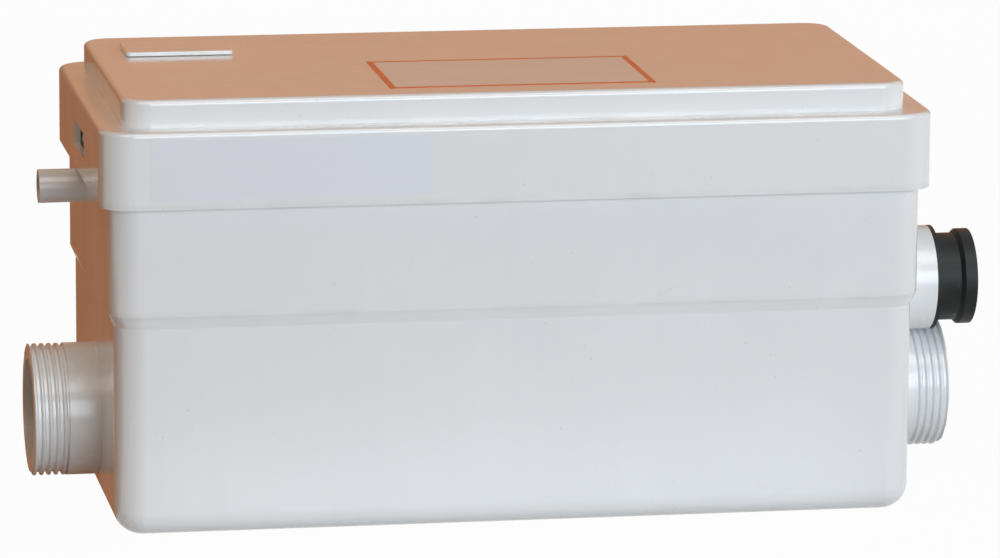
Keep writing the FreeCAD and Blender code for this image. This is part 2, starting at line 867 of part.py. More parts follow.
def add_socket_boss(body):
    """Add the round boss that gives the discharge socket and the valve flat faces."""
    boss = new_sketch(body, "YZ_Plane", boss_face)
    circle(boss, d.socket_y, socket_height, d.socket_outer_radius + d.socket_boss_margin)
    pad(body, boss, boss_face - valve_back, back=True)
    bore = new_sketch(body, "YZ_Plane", valve_back)
    circle(bore, d.socket_y, socket_height, d.socket_bore_radius)
    pocket(body, bore, boss_face - valve_back, back=True)


def add_nipple_hole(body):
    """Open the left-hand end wall for the vent nipple."""
    inside = half_length - d.tank_wall
    bore = new_sketch(body, "YZ_Plane", -inside)
    circle(bore, d.nipple_y, nipple_height, d.nipple_bore_radius)
    pocket(body, bore, d.tank_wall)


def make_inlet_spigot(side, label):
    """Make one inlet spigot: plain collar, thread core, pipe bore and the pipe's stop."""
    body = new_body(label.title().replace("_", ""))
    root = side * body_half_length
    thread = side * (inlet_reach - d.inlet_thread_length)
    stop = side * (inlet_reach - d.inlet_bore_depth)
    rim = side * inlet_reach
    points = [
        (root, d.inlet_throat_radius),
        (root, d.inlet_outer_radius),
        (thread, d.inlet_outer_radius),
        (thread, d.inlet_thread_root),
        (rim, d.inlet_thread_root),
        (rim, d.inlet_bore_radius),
        (stop, d.inlet_bore_radius),
        (stop, d.inlet_throat_radius),
    ]
    revolve(body, points, axis="H_Axis")
    place(body, 0, d.inlet_y, inlet_heights[side])
    return keep(body, label)


def make_tube(name, label, start, end, bore, outer, y, z):
    """Make a plain tube along X between two places."""
    body = new_body(name)
    revolve(body, [(start, bore), (start, outer), (end, outer), (end, bore)], axis="H_Axis")
    place(body, 0, y, z)
    return keep(body, label)


def make_cover():
    """Make the cover with its skirt, raised top, windows, ribs and filter basket."""
    body = new_body("Cover")
    skirt = new_sketch(body, "XY_Plane", cover_base)
    rounded_rectangle(skirt, 0, 0, cover_half_length, cover_half_depth, d.cover_corner)
    pad(body, skirt, d.skirt_depth)
    fillet(body, d.cover_edge_round, at_height(ledge_height))
    raised = new_sketch(body, "XY_Plane", ledge_height - d.cover_wall)
    corner = d.cover_corner - d.cover_wall
    rounded_rectangle(raised, 0, 0, raised_half_length, raised_half_depth, corner)
    pad(body, raised, d.cover_rise + d.cover_wall)
    fillet(body, d.cover_edge_round, at_height(cover_top))
    inside_corner = corner - d.cover_wall
    ceiling = cover_top - d.cover_wall
    upper = new_sketch(body, "XY_Plane", cover_base)
    inner_length = raised_half_length - d.cover_wall
    inner_depth = raised_half_depth - d.cover_wall
    rounded_rectangle(upper, 0, 0, inner_length, inner_depth, inside_corner)
    pocket(body, upper, ceiling - cover_base, back=True)
    lower = new_sketch(body, "XY_Plane", cover_base)
    wide = cover_half_length - d.cover_wall
    deep = cover_half_depth - d.cover_wall
    rounded_rectangle(lower, 0, 0, wide, deep, corner)
    pocket(body, lower, d.skirt_depth - d.cover_wall, back=True)
    windows = new_sketch(body, "YZ_Plane")
    rectangle(windows, d.inlet_y, window_centre, d.window_width / 2, d.window_height / 2)
    pocket(body, windows, 2 * cover_half_length, both=True)
    notch = new_sketch(body, "XZ_Plane", -cover_half_depth)
    notch_top = gland_height + d.notch_width / 2
    notch_middle = (cover_base + notch_top) / 2
    rectangle(notch, d.gland_x, notch_middle, d.notch_width / 2, notch_top - notch_middle)
    pocket(body, notch, d.cover_wall * 3, both=True)
    add_ribs(body, ceiling, inner_depth)
    add_basket(body, ceiling)
    return keep(body, "cover")


def add_ribs(body, ceiling, inner_depth):
    """Stiffen the raised top from below."""
    ribs = new_sketch(body, "XY_Plane", ceiling)
    for index in (-1, 0, 1, 2):
        x = d.cover_rib_pitch * index
        rectangle(ribs, x, 0, d.cover_rib_thickness / 2, inner_depth)
    pad(body, ribs, d.cover_rib_depth, back=True)


def add_basket(body, ceiling):
    """Hang the slotted filter basket under the opening in the cover's top."""
    half_x = d.vent_length / 2 - d.vent_rim
    half_y = d.vent_depth / 2 - d.vent_rim
    opening = new_sketch(body, "XY_Plane", cover_top)
    rectangle(opening, vent_x, vent_y, half_x, half_y)
    pocket(body, opening, 2 * d.cover_wall)
    walls = new_sketch(body, "XY_Plane", ceiling)
    rectangle(walls, vent_x, vent_y, half_x, half_y)
    rectangle(walls, vent_x, vent_y, half_x + d.basket_wall, half_y + d.basket_wall)
    pad(body, walls, ceiling - basket_floor, back=True)
    floor = new_sketch(body, "XY_Plane", basket_floor)
    rectangle(floor, vent_x, vent_y, half_x + d.basket_wall, half_y + d.basket_wall)
    pad(body, floor, d.basket_wall, back=True)
    slots = new_sketch(body, "XY_Plane", basket_floor)
    draw_slots(slots, half_x, half_y)
    pocket(body, slots, 2 * d.basket_wall)


def draw_slots(sketch, half_x, half_y):
    """Draw a row of slots across a rectangle about the vent cover's centre."""
    for step in SLOT_STEPS:
        x = vent_x + step * half_x * d.slot_pitch_share
        rectangle(sketch, x, vent_y, half_x * d.slot_half_share, half_y * d.slot_length_share)


def make_vent_cover():
    """Make the flat cap over the filter, with the collar that holds the cartridge."""
    body = new_body("VentCover")
    collar_x = d.vent_length / 2 - d.vent_rim - d.vent_gap
    collar_y = d.vent_depth / 2 - d.vent_rim - d.vent_gap
    collar = new_sketch(body, "XY_Plane", collar_foot)
    rectangle(collar, vent_x, vent_y, collar_x, collar_y)
    pad(body, collar, d.vent_collar_depth + d.vent_gap)
    cap = new_sketch(body, "XY_Plane", cover_top + d.vent_gap)
    rounded_rectangle(cap, vent_x, vent_y, d.vent_length / 2, d.vent_depth / 2, d.vent_thickness)
    pad(body, cap, d.vent_thickness)
    fillet(body, d.vent_edge_round, at_height(cover_top + d.vent_gap + d.vent_thickness))
    hollow = new_sketch(body, "XY_Plane", collar_foot)
    inner_x, inner_y = collar_x - d.vent_collar_wall, collar_y - d.vent_collar_wall
    rectangle(hollow, vent_x, vent_y, inner_x, inner_y)
    pocket(body, hollow, d.vent_collar_depth, back=True)
    return keep(body, "vent_cover")


def make_carbon_filter():
    """Make the grooved odour filter that hangs from the cap's collar."""
    body = new_body("CarbonFilter")
    half_x = d.vent_length / 2 - d.vent_rim - d.vent_gap
    half_y = d.vent_depth / 2 - d.vent_rim - d.vent_gap
    block = new_sketch(body, "XY_Plane", filter_foot)
    rectangle(block, vent_x, vent_y, half_x, half_y)
    pad(body, block, d.filter_height)
    grooves = new_sketch(body, "XY_Plane", filter_foot)
    draw_slots(grooves, half_x, half_y)
    pocket(body, grooves, d.filter_groove_depth, back=True)
    return keep(body, "carbon_filter")


def make_cover_gasket():
    """Make the seal that lies on the tank's rim."""
    body = new_body("CoverGasket")
    ring = new_sketch(body, "XY_Plane", d.tank_rim_height)
    corner = d.tank_corner
    rounded_rectangle(ring, 0, 0, half_length, half_depth, corner)
    inner_x, inner_y = half_length - d.tank_wall, half_depth - d.tank_wall
    rounded_rectangle(ring, 0, 0, inner_x, inner_y, corner - d.tank_wall)
    pad(body, ring, d.gasket_thickness)
    return keep(body, "cover_gasket")


def make_deck():
    """Make the deck over the sump, with openings for the bell, the motor lead and air."""
    body = new_body("Deck")
    plate = new_sketch(body, "XY_Plane", deck_height)
    margin = d.tank_wall + d.deck_gap
    corner = d.tank_corner - d.tank_wall
    rounded_rectangle(plate, 0, 0, half_length - margin, half_depth - margin, corner)
    pad(body, plate, d.deck_thickness)
    holes = new_sketch(body, "XY_Plane", deck_top)
    for x, y in pillar_places:
        circle(holes, x, y, screw_hole)
    circle(holes, d.bell_x, d.bell_y, d.bell_radius + d.flap_gap)
    circle(holes, pump_x, pump_y, d.seal_radius)
    pocket(body, holes, d.deck_thickness)
    slot = new_sketch(body, "XY_Plane", deck_top)
    rectangle(slot, vent_x, vent_y - d.vent_depth, d.vent_length / 3, d.cover_rib_thickness)
    row = pocket(body, slot, d.deck_thickness)
    pattern = body.newObject("PartDesign::LinearPattern", "LinearPattern")
    pattern.Originals = [row]
    pattern.Direction = (slot, ["V_Axis"])
    bind(pattern, "Length", d.vent_depth)
    bind(pattern, "Occurrences", d.deck_slots)
    body.Tip = pattern
    return keep(body, "deck")


def make_deck_screws():
    """Make the six screws that hold the deck on its pillars."""
    screws = []
    for index, (x, y) in enumerate(pillar_places):
        length = d.screw_length
        screws.append(screw(f"DeckScrew{index}", x, y, deck_top, length, d.screw_radius))
    return keep(group("DeckScrews", screws), "deck_screws")


def make_inlet_flap(side, label):
    """Make one inlet's flap, hung by its barrel at the top of the seat."""
    body = new_body(label.title().replace("_", ""))
    back = side > 0
    height = inlet_heights[side]
    face = side * (seat_face - d.flap_gap)
    disc = new_sketch(body, "YZ_Plane", face)
    circle(disc, d.inlet_y, height, flap_radius)
    pad(body, disc, d.flap_thickness, back=back)
    neck = new_sketch(body, "YZ_Plane", face)
    neck_start = flap_radius * d.flap_neck_share
    neck_half = (hinge_rise - neck_start) / 2
    neck_z = height + neck_start + neck_half
    rectangle(neck, d.inlet_y, neck_z, d.hinge_half_width, neck_half)
    pad(body, neck, d.flap_thickness, back=back)
    hinge_x = side * (seat_face - hinge_offset)
    barrel = new_sketch(body, "XZ_Plane", -d.inlet_y)
    circle(barrel, hinge_x, height + hinge_rise, d.hinge_barrel_radius)
    pad(body, barrel, 2 * d.hinge_half_width, both=True)
    bore = new_sketch(body, "XZ_Plane", -d.inlet_y)
    circle(bore, hinge_x, height + hinge_rise, pin_hole)
    pocket(body, bore, 4 * d.hinge_half_width, both=True)
    return keep(body, label)


def make_inlet_pins():
    """Make the two hinge pins of the inlet flaps."""
    reach = d.hinge_half_width + d.flap_gap + d.hinge_ear_thickness
    pins = []
    for side, name in ((-1, "LeftPin"), (1, "RightPin")):
        hinge_z = inlet_heights[side] + hinge_rise
        base = (side * (seat_face - hinge_offset), d.inlet_y - reach, hinge_z)
        pins.append(cylinder(name, base, d.hinge_pin_radius, 2 * reach, "Y"))
    return keep(group("InletPins", pins), "inlet_flap_pins")


def make_valve_housing():
    """Make the non-return valve's housing, turned about the discharge axis."""
    body = new_body("ValveHousing")
    outer = d.socket_outer_radius
    step = valve_front + d.valve_spigot_length
    points = [
        (valve_front, d.valve_throat_radius),
        (valve_seat, d.valve_throat_radius),
        (valve_seat, d.socket_bore_radius),
        (valve_back, d.socket_bore_radius),
        (valve_back, outer),
        (step, outer),
        (step, nozzle_radius),
        (valve_front, nozzle_radius),
    ]
    revolve(body, points, axis="H_Axis")
    pin = new_sketch(body, "XZ_Plane")
    circle(pin, valve_hinge_x, valve_hinge_rise, pin_hole)
    pocket(body, pin, 2 * outer, both=True)
    room = new_sketch(body, "XZ_Plane")
    circle(room, valve_hinge_x, valve_hinge_rise, d.valve_barrel_radius + d.flap_gap)
    pocket(body, room, 2 * (d.valve_hinge_half + d.flap_gap), both=True)
    place(body, 0, d.socket_y, socket_height)
    return keep(body, "valve_housing")


def make_outlet_flap():
    """Make the non-return flap of the discharge."""
    body = new_body("OutletFlap")
    face = valve_seat + d.flap_gap
    disc = new_sketch(body, "YZ_Plane", face)
    circle(disc, 0, 0, d.valve_flap_radius)
    pad(body, disc, d.flap_thickness)
    barrel = new_sketch(body, "XZ_Plane")
    circle(barrel, valve_hinge_x, valve_hinge_rise, d.valve_barrel_radius)
    pad(body, barrel, 2 * d.valve_hinge_half, both=True)
    bore = new_sketch(body, "XZ_Plane")
    circle(bore, valve_hinge_x, valve_hinge_rise, pin_hole)
    pocket(body, bore, 4 * d.valve_hinge_half, both=True)
    place(body, 0, d.socket_y, socket_height)
    return keep(body, "outlet_flap")


def make_outlet_pin():
    """Make the hinge pin of the non-return flap."""
    base = (valve_hinge_x, d.socket_y - d.valve_pin_half, socket_height + valve_hinge_rise)
    pin = cylinder("OutletPin", base, d.hinge_pin_radius, 2 * d.valve_pin_half, "Y")
    return keep(pin, "outlet_flap_pin")


def make_outlet_sleeve():
    """Make the rubber sleeve that plugs into the discharge socket and takes the pipe."""
    body = new_body("OutletSleeve")
    plug_end = socket_reach - d.sleeve_plug_length
    plug_radius = d.socket_bore_radius - d.screw_clearance
    end = socket_reach + d.sleeve_reach
    flange = socket_reach + d.sleeve_flange
    bead = end - d.sleeve_bead_width
    lead = d.sleeve_bead_radius - d.sleeve_body_radius
    points = [
        (plug_end, d.sleeve_bore_radius),
        (end, d.sleeve_bore_radius),
        (end, d.sleeve_bead_radius),
        (bead, d.sleeve_bead_radius),
        (bead - lead, d.sleeve_body_radius),
        (flange, d.sleeve_body_radius),
        (flange, d.socket_outer_radius),
        (socket_reach, d.socket_outer_radius),
        (socket_reach, plug_radius),
        (plug_end, plug_radius),
    ]
    revolve(body, points, axis="H_Axis")
    place(body, 0, d.socket_y, socket_height)
    return keep(body, "outlet_sleeve")


def make_pump_feet():
    """Make the three rubber feet between the tank floor and the pump."""
    feet = []
    for index, (x, y) in enumerate(foot_places):
        foot = doc.addObject("Part::Cone", f"PumpFoot{index}")
        bind(foot, "Radius1", d.pump_foot_radius)
        bind(foot, "Radius2", d.pump_foot_radius * d.pump_foot_taper)
        bind(foot, "Height", d.pump_foot_height)
        feet.append(place(foot, pump_x + x, pump_y + y, d.tank_floor))
    return keep(group("PumpFeet", feet), "pump_feet")


def add_ears(body, places, level, height):
    """Add round screw ears between two heights."""
    for x, y in places:
        ear = new_sketch(body, "XY_Plane", level)
        circle(ear, x, y, d.ear_radius)
        pad(body, ear, height)


def drill(body, places, level, depth, radius):
    """Drill holes down from a level."""
    holes = new_sketch(body, "XY_Plane", level)
    for x, y in places:
        circle(holes, x, y, radius)
    pocket(body, holes, depth)


def make_suction_plate():
    """Make the plate under the casing, with its raised suction eye and strainer bars."""
    body = new_body("SuctionPlate")
    plate = new_sketch(body, "XY_Plane", plate_height)
    spiral(plate, d.casing_wall)
    pad(body, plate, d.suction_plate_thickness)
    add_ears(body, ear_places(), plate_height, d.suction_plate_thickness)
    ring = new_sketch(body, "XY_Plane", plate_height)
    circle(ring, 0, 0, d.suction_eye_radius + d.casing_wall)
    pad(body, ring, d.casing_wall, back=True)
    eye = new_sketch(body, "XY_Plane", casing_bottom)
    circle(eye, 0, 0, d.suction_eye_radius)
    pocket(body, eye, d.suction_plate_thickness + 2 * d.casing_wall)
    bars = new_sketch(body, "XY_Plane", plate_height - d.casing_wall)
    half_bar = d.cover_rib_thickness / 2
    rectangle(bars, 0, 0, d.suction_eye_radius + d.casing_wall / 2, half_bar)
    first = pad(body, bars, d.cover_rib_thickness)
    polar(body, first, bars, 4)
    drill(body, ear_places(), casing_bottom, d.suction_plate_thickness, screw_hole)
    place(body, pump_x, pump_y)
    return keep(body, "suction_plate")


def make_volute_casing():
    """Make the spiral pump casing with its tangential nozzle."""
    body = new_body("VoluteCasing")
    outer = new_sketch(body, "XY_Plane", casing_bottom)
    spiral(outer, d.casing_wall)
    pad(body, outer, casing_height)
    nozzle = new_sketch(body, "YZ_Plane")
    circle(nozzle, -d.nozzle_offset, nozzle_height, nozzle_radius)
    pad(body, nozzle, d.nozzle_length)
    chamber = new_sketch(body, "XY_Plane", casing_bottom)
    spiral(chamber, 0)
    pocket(body, chamber, casing_height - d.casing_top_wall, back=True)
    bore = new_sketch(body, "YZ_Plane")
    circle(bore, -d.nozzle_offset, nozzle_height, d.nozzle_bore_radius)
    pocket(body, bore, d.nozzle_length, back=True)
    neck = new_sketch(body, "XY_Plane", casing_top)
    circle(neck, 0, 0, d.casing_neck_radius)
    pocket(body, neck, d.casing_top_wall)
    add_ears(body, ear_places(), casing_bottom, casing_height - d.casing_top_wall)
    add_ears(body, tie_places, casing_top - d.casing_top_wall, d.casing_top_wall)
    drill(body, tie_places, casing_top, d.casing_top_wall / 2, screw_hole)
    depth = d.screw_length
    drill(body, ear_places(), casing_bottom + depth, depth, screw_hole)
    place(body, pump_x, pump_y)
    return keep(body, "volute_casing")


def make_casing_screws():
    """Make the screws that hold the suction plate under the casing."""
    screws = []
    reach = d.screw_length + d.suction_plate_thickness - d.screw_end_gap
    for index, (x, y) in enumerate(ear_places()):
        base = (pump_x + x, pump_y + y, plate_height)
        shank = cylinder(f"CasingShank{index}", base, d.screw_radius, reach)
        base = (pump_x + x, pump_y + y, plate_height - d.screw_head_height)
        head = cylinder(f"CasingHead{index}", base, d.screw_head_radius, d.screw_head_height)
        screws.append(fuse(f"CasingScrew{index}", shank, head))
    return keep(group("CasingScrews", screws), "casing_screws")


def elbow(name, centre, radius, start):
    """Make a quarter bend of the hose in the XZ plane, from start degrees towards +Z."""
    item = doc.addObject("Part::Torus", name)
    bind(item, "Radius1", d.hose_bend_radius)
    bind(item, "Radius2", radius)
    item.Angle3 = 90
    upright = FreeCAD.Rotation(FreeCAD.Vector(1, 0, 0), 90)
    turn = upright.multiply(FreeCAD.Rotation(FreeCAD.Vector(0, 0, 1), start))
    item.Placement = FreeCAD.Placement(FreeCAD.Vector(), turn)
    return place(item, *centre)


def hose_run(name, radius):
    """Join the straight and bent lengths of the hose's route at one radius."""
    y = d.socket_y
    bend = d.hose_bend_radius
    low_start = (hose_start, y, nozzle_height)
    riser_foot = (hose_riser, y, nozzle_height + bend)
    high_start = (hose_riser + bend, y, socket_height)
    low_centre = (hose_riser - bend, y, nozzle_height + bend)
    high_centre = (hose_riser + bend, y, socket_height - bend)
    lengths = [
        cylinder(f"{name}Low", low_start, radius, hose_riser - bend - hose_start, "X"),
        elbow(f"{name}LowBend", low_centre, radius, -90),
        cylinder(f"{name}Riser", riser_foot, radius, socket_height - nozzle_height - 2 * bend),
        elbow(f"{name}HighBend", high_centre, radius, 90),
        cylinder(f"{name}High", high_start, radius, hose_end - hose_riser - bend, "X"),
    ]
    return fuse(name, *lengths)


def make_discharge_hose():
    """Make the moulded hose from the casing's nozzle up to the valve."""
    outer = hose_run("HoseOuter", hose_bore + d.hose_wall)
    inner = hose_run("HoseInner", hose_bore)
    return keep(cut("DischargeHose", outer, inner), "discharge_hose")


def make_hose_clamps():
    """Make the two band clamps round the hose's ends."""
    inner = hose_bore + d.hose_wall + d.running_clearance
    outer = inner + d.clamp_band
    lug_size = (d.clamp_width, d.clamp_lug_width, d.clamp_lug_height)
    clamps = []
    starts = (hose_start + d.clamp_inset, valve_front + d.clamp_inset)
    for index, (start, height) in enumerate(zip(starts, (nozzle_height, socket_height))):
        base = (start, d.socket_y, height)
        band = cylinder(f"ClampBand{index}", base, outer, d.clamp_width, "X")
        hollow = cylinder(f"ClampHollow{index}", base, inner, d.clamp_width, "X")
        lug_low = (start, d.socket_y - d.clamp_lug_width / 2, height + outer - d.clamp_band / 2)
        lug = box(f"ClampLug{index}", lug_low, lug_size)
        clamps.append(cut(f"Clamp{index}", fuse(f"ClampBody{index}", band, lug), hollow))
    return keep(group("HoseClamps", clamps), "hose_clamps")


def make_seal_plate():
    """Make the plate between casing and motor, which holds the shaft seal and lower bearing."""
    body = new_body("SealPlate")
    bearing = d.lower_bearing_radius + d.running_clearance
    top = lower_bearing_foot + d.lower_bearing_width
    hub = d.casing_neck_radius - d.flap_gap
    points = [
        (seal_pocket, seal_foot),
        (hub, seal_foot),
        (hub, casing_top),
        (d.motor_radius, casing_top),
        (d.motor_radius, seal_plate_top),
        (bearing + d.casing_wall, seal_plate_top),
        (bearing + d.casing_wall, top),
        (bearing, top),
        (bearing, lower_bearing_foot),
        (shaft_hole, lower_bearing_foot),
        (shaft_hole, seal_foot + d.seal_height),
        (seal_pocket, seal_foot + d.seal_height),
    ]
    revolve(body, points)
    add_ears(body, tie_places, casing_top, d.seal_plate_thickness)
    drill(body, tie_places, seal_plate_top, d.seal_plate_thickness, screw_hole)
    place(body, pump_x, pump_y)
    return keep(body, "seal_plate")


def make_shaft_seal():
    """Make the rubber-cased seal round the shaft."""
    body = new_body("ShaftSeal")
    top = seal_foot + d.seal_height
    lip = d.seal_lip
    bore = d.lower_journal_radius + d.running_clearance
    points = [
        (bore, seal_foot + lip),
        (bore + lip, seal_foot + lip / 2),
        (bore + lip, seal_foot),
        (d.seal_radius, seal_foot),
        (d.seal_radius, top),
        (bore + lip * 1.5, top),
        (bore + lip * 1.5, seal_foot + lip * 2),
        (bore, seal_foot + lip * 1.75),
    ]
    revolve(body, points)
    place(body, pump_x, pump_y)
    return keep(body, "shaft_seal")


def make_bearing(name, label, bore, outer, foot, width):
    """Make one sealed ball bearing as a ring with sunk seals."""
    body = new_body(name)
    rim = (outer - bore) * d.bearing_rim_share
    sunk = width * d.bearing_sink_share
    points = [
        (bore, foot),
        (bore + rim, foot),
        (bore + rim, foot + sunk),
        (outer - rim, foot + sunk),
        (outer - rim, foot),
        (outer, foot),
        (outer, foot + width),
        (outer - rim, foot + width),
        (outer - rim, foot + width - sunk),
        (bore + rim, foot + width - sunk),
        (bore + rim, foot + width),
        (bore, foot + width),
    ]
    revolve(body, points)
    place(body, pump_x, pump_y)
    return keep(body, label)


def make_shaft():
    """Make the stepped motor shaft."""
    body = new_body("Shaft")
    thread_foot = nut_top - d.nut_height
    points = [
        (0, thread_foot),
        (d.nut_thread_radius, thread_foot),
        (d.nut_thread_radius, nut_top),
        (d.impeller_journal_radius, nut_top),
        (d.impeller_journal_radius, shroud_top),
        (d.lower_journal_radius, shroud_top),
        (d.lower_journal_radius, lower_bearing_foot + d.lower_bearing_width),
        (d.shaft_radius, lower_bearing_foot + d.lower_bearing_width),
        (d.shaft_radius, upper_bearing_foot),
        (d.upper_journal_radius, upper_bearing_foot),
        (d.upper_journal_radius, upper_bearing_foot + d.upper_bearing_width),
        (0, upper_bearing_foot + d.upper_bearing_width),
    ]
    revolve(body, points)
    place(body, pump_x, pump_y)
    return keep(body, "shaft")


def make_rotor_core():
    """Make the rotor's laminated core with its end rings."""
    body = new_body("RotorCore")
    core = d.stator_bore_radius - d.air_gap
    ring = core - d.end_ring_inset
    ring_inside = ring - d.end_ring_width
    bore = d.shaft_radius + d.running_clearance / 2
    points = [
        (bore, stack_foot),
        (ring_inside, stack_foot),
        (ring_inside, stack_foot - d.end_ring_height),
        (ring, stack_foot - d.end_ring_height),
        (ring, stack_foot),
        (core, stack_foot),
        (core, stack_top),
        (ring, stack_top),
        (ring, stack_top + d.end_ring_height),
        (ring_inside, stack_top + d.end_ring_height),
        (ring_inside, stack_top),
        (bore, stack_top),
    ]
    revolve(body, points)
    place(body, pump_x, pump_y)
    return keep(body, "rotor_core")


def make_impeller():
    """Make the open impeller: hub, back shroud and backward-curved vanes."""
    body = new_body("Impeller")
    bore = d.impeller_journal_radius + d.running_clearance / 2
    points = [
        (bore, vane_foot),
        (d.impeller_hub_radius * d.impeller_hub_taper, vane_foot),
        (d.impeller_hub_radius, shroud_foot),
        (d.impeller_radius, shroud_foot + d.impeller_shroud * d.impeller_rim_share),
        (d.impeller_radius, shroud_top),
        (bore, shroud_top),
    ]
    revolve(body, points)
    vane = new_sketch(body, "XY_Plane", vane_foot + d.impeller_vane_gap)
    draw_vane(vane)
    first = pad(body, vane, d.impeller_vane_height + d.impeller_shroud / 2)
    polar(body, first, vane, d.impeller_vanes)
    place(body, pump_x, pump_y)
    return keep(body, "impeller")


def draw_vane(sketch):
    """Draw one vane: two arcs about one centre, from the hub to the rim, swept backwards."""
    root = d.impeller_hub_radius.number * d.impeller_vane_root_share.number
    tip = d.impeller_radius.number
    curve = d.impeller_vane_curve.number
    half = d.impeller_vane_thickness.number / 2
    chord = tip - root
    rise = math.sqrt(curve * curve - chord * chord / 4)
    centre = FreeCAD.Vector((root + tip) / 2, -rise, 0)
    start = math.atan2(rise, tip - centre.x)
    end = math.pi - start
    normal = FreeCAD.Vector(0, 0, 1)
    arcs = []
    for radius in (curve - half, curve + half):
        arcs.append(Part.ArcOfCircle(Part.Circle(centre, normal, radius), start, end))
    for arc in arcs:
        sketch.addGeometry(arc, False)
    sketch.addGeometry(Part.LineSegment(arcs[0].EndPoint, arcs[1].EndPoint), False)
    sketch.addGeometry(Part.LineSegment(arcs[1].StartPoint, arcs[0].StartPoint), False)


def make_impeller_nut():
    """Make the hexagon nut that holds the impeller on the shaft."""
    prism = doc.addObject("Part::Prism", "NutPrism")
    prism.Polygon = 6
    bind(prism, "Circumradius", d.nut_width / 2 / math.cos(math.pi / 6))
    bind(prism, "Height", d.nut_height)
    place(prism, pump_x, pump_y, nut_top - d.nut_height)
    base = (pump_x, pump_y, nut_top - d.nut_height)
    hole = cylinder("NutHole", base, d.nut_thread_radius + d.running_clearance / 2, d.nut_height)
    return keep(cut("ImpellerNut", prism, hole), "impeller_nut")


def make_motor_housing():
    """Make the ribbed motor can."""
    body = new_body("MotorHousing")
    inner = d.motor_radius - d.motor_wall
    points = [
        (inner, seal_plate_top),
        (d.motor_radius, seal_plate_top),
        (d.motor_radius, motor_top),
        (inner, motor_top),
    ]
    revolve(body, points)
    rib = new_sketch(body, "XY_Plane", seal_plate_top + d.motor_rib_end_gap)
    rib_half = (d.motor_rib + d.motor_rib_root) / 2
    rib_middle = d.motor_radius - d.motor_rib_root + rib_half
    rectangle(rib, rib_middle, 0, rib_half, d.motor_rib / 2)
    first = pad(body, rib, motor_top - seal_plate_top - 2 * d.motor_rib_end_gap)
    polar(body, first, rib, d.motor_ribs)
    place(body, pump_x, pump_y)
    return keep(body, "motor_housing")


def make_motor_cap():
    """Make the motor's top cap with the upper bearing's seat."""
    body = new_body("MotorCap")
    bearing = d.upper_bearing_radius + d.running_clearance
    spigot = d.motor_radius - d.motor_wall - d.screw_clearance
    top = motor_top + d.motor_cap_thickness
    points = [
        (0, upper_bearing_foot + d.upper_bearing_width),
        (bearing, upper_bearing_foot + d.upper_bearing_width),
        (bearing, upper_bearing_foot),
        (bearing + d.casing_wall, upper_bearing_foot),
        (bearing + d.casing_wall, motor_top - d.motor_cap_spigot),
        (spigot, motor_top - d.motor_cap_spigot),
        (spigot, motor_top),
        (d.motor_radius, motor_top),
        (d.motor_radius, cap_seat),
        (d.motor_radius - d.motor_cap_slope, top),
        (0, top),
    ]
    revolve(body, points)
    add_ears(body, tie_places, motor_top, cap_seat - motor_top)
    drill(body, tie_places, top, d.motor_cap_thickness, screw_hole)
    place(body, pump_x, pump_y)
    return keep(body, "motor_cap")


def make_tie_screws():
    """Make the four long screws that clamp cap, can and seal plate to the casing."""
    length = cap_seat - casing_top + d.casing_top_wall / 2 - d.screw_end_gap
    screws = []
    for index, (x, y) in enumerate(tie_places):
        name = f"TieScrew{index}"
        screws.append(screw(name, pump_x + x, pump_y + y, cap_seat, length, d.screw_radius))
    return keep(group("TieScrews", screws), "tie_screws")


def make_stator_core():
    """Make the stator's laminated stack with its slots."""
    body = new_body("StatorCore")
    outer = d.motor_radius - d.motor_wall - d.running_clearance
    points = [
        (d.stator_bore_radius, stack_foot),
        (outer, stack_foot),
        (outer, stack_top),
        (d.stator_bore_radius, stack_top),
    ]
    revolve(body, points)
    slot = new_sketch(body, "XY_Plane", stack_top)
    rectangle(slot, slot_middle, 0, d.slot_depth / 2, d.slot_width / 2)
    first = pocket(body, slot, stator_stack)
    opening = new_sketch(body, "XY_Plane", stack_top)
    rectangle(opening, d.stator_bore_radius, 0, d.slot_mouth * 1.5, d.slot_mouth_width / 2)
    second = pocket(body, opening, stator_stack)
    pattern = polar(body, first, slot, d.stator_slots)
    pattern.Originals = [first, second]
    place(body, pump_x, pump_y)
    return keep(body, "stator_core")


def make_stator_windings():
    """Make the windings: a bar in every slot and a rounded bundle over each end."""
    body = new_body("StatorWindings")
    inner = slot_middle - d.slot_depth / 2 + d.winding_gap
    outer = slot_middle + d.slot_depth / 2 + d.winding_overhang
    soft = d.winding_round
    lower_foot = stack_foot - d.winding_gap - d.winding_height
    for foot in (lower_foot, stack_top + d.winding_gap):
        top = foot + d.winding_height
        points = [
            (inner + soft, foot),
            (outer - soft, foot),
            (outer, foot + soft),
            (outer, top - soft),
            (outer - soft, top),
            (inner + soft, top),
            (inner, top - soft),
            (inner, foot + soft),
        ]
        revolve(body, points)
        if foot is lower_foot:
            add_slot_bars(body, foot + d.winding_height / 2)
    place(body, pump_x, pump_y)
    return keep(body, "stator_windings")


def add_slot_bars(body, foot):
    """Run a bar of wire through every slot."""
    bars = new_sketch(body, "XY_Plane", foot)
    half_bar = d.slot_depth / 2 - d.winding_gap
    rectangle(bars, slot_middle, 0, half_bar, d.slot_width / 2 - d.winding_gap)
    first = pad(body, bars, stator_stack + d.winding_height + 2 * d.winding_gap)
    polar(body, first, bars, d.stator_slots)


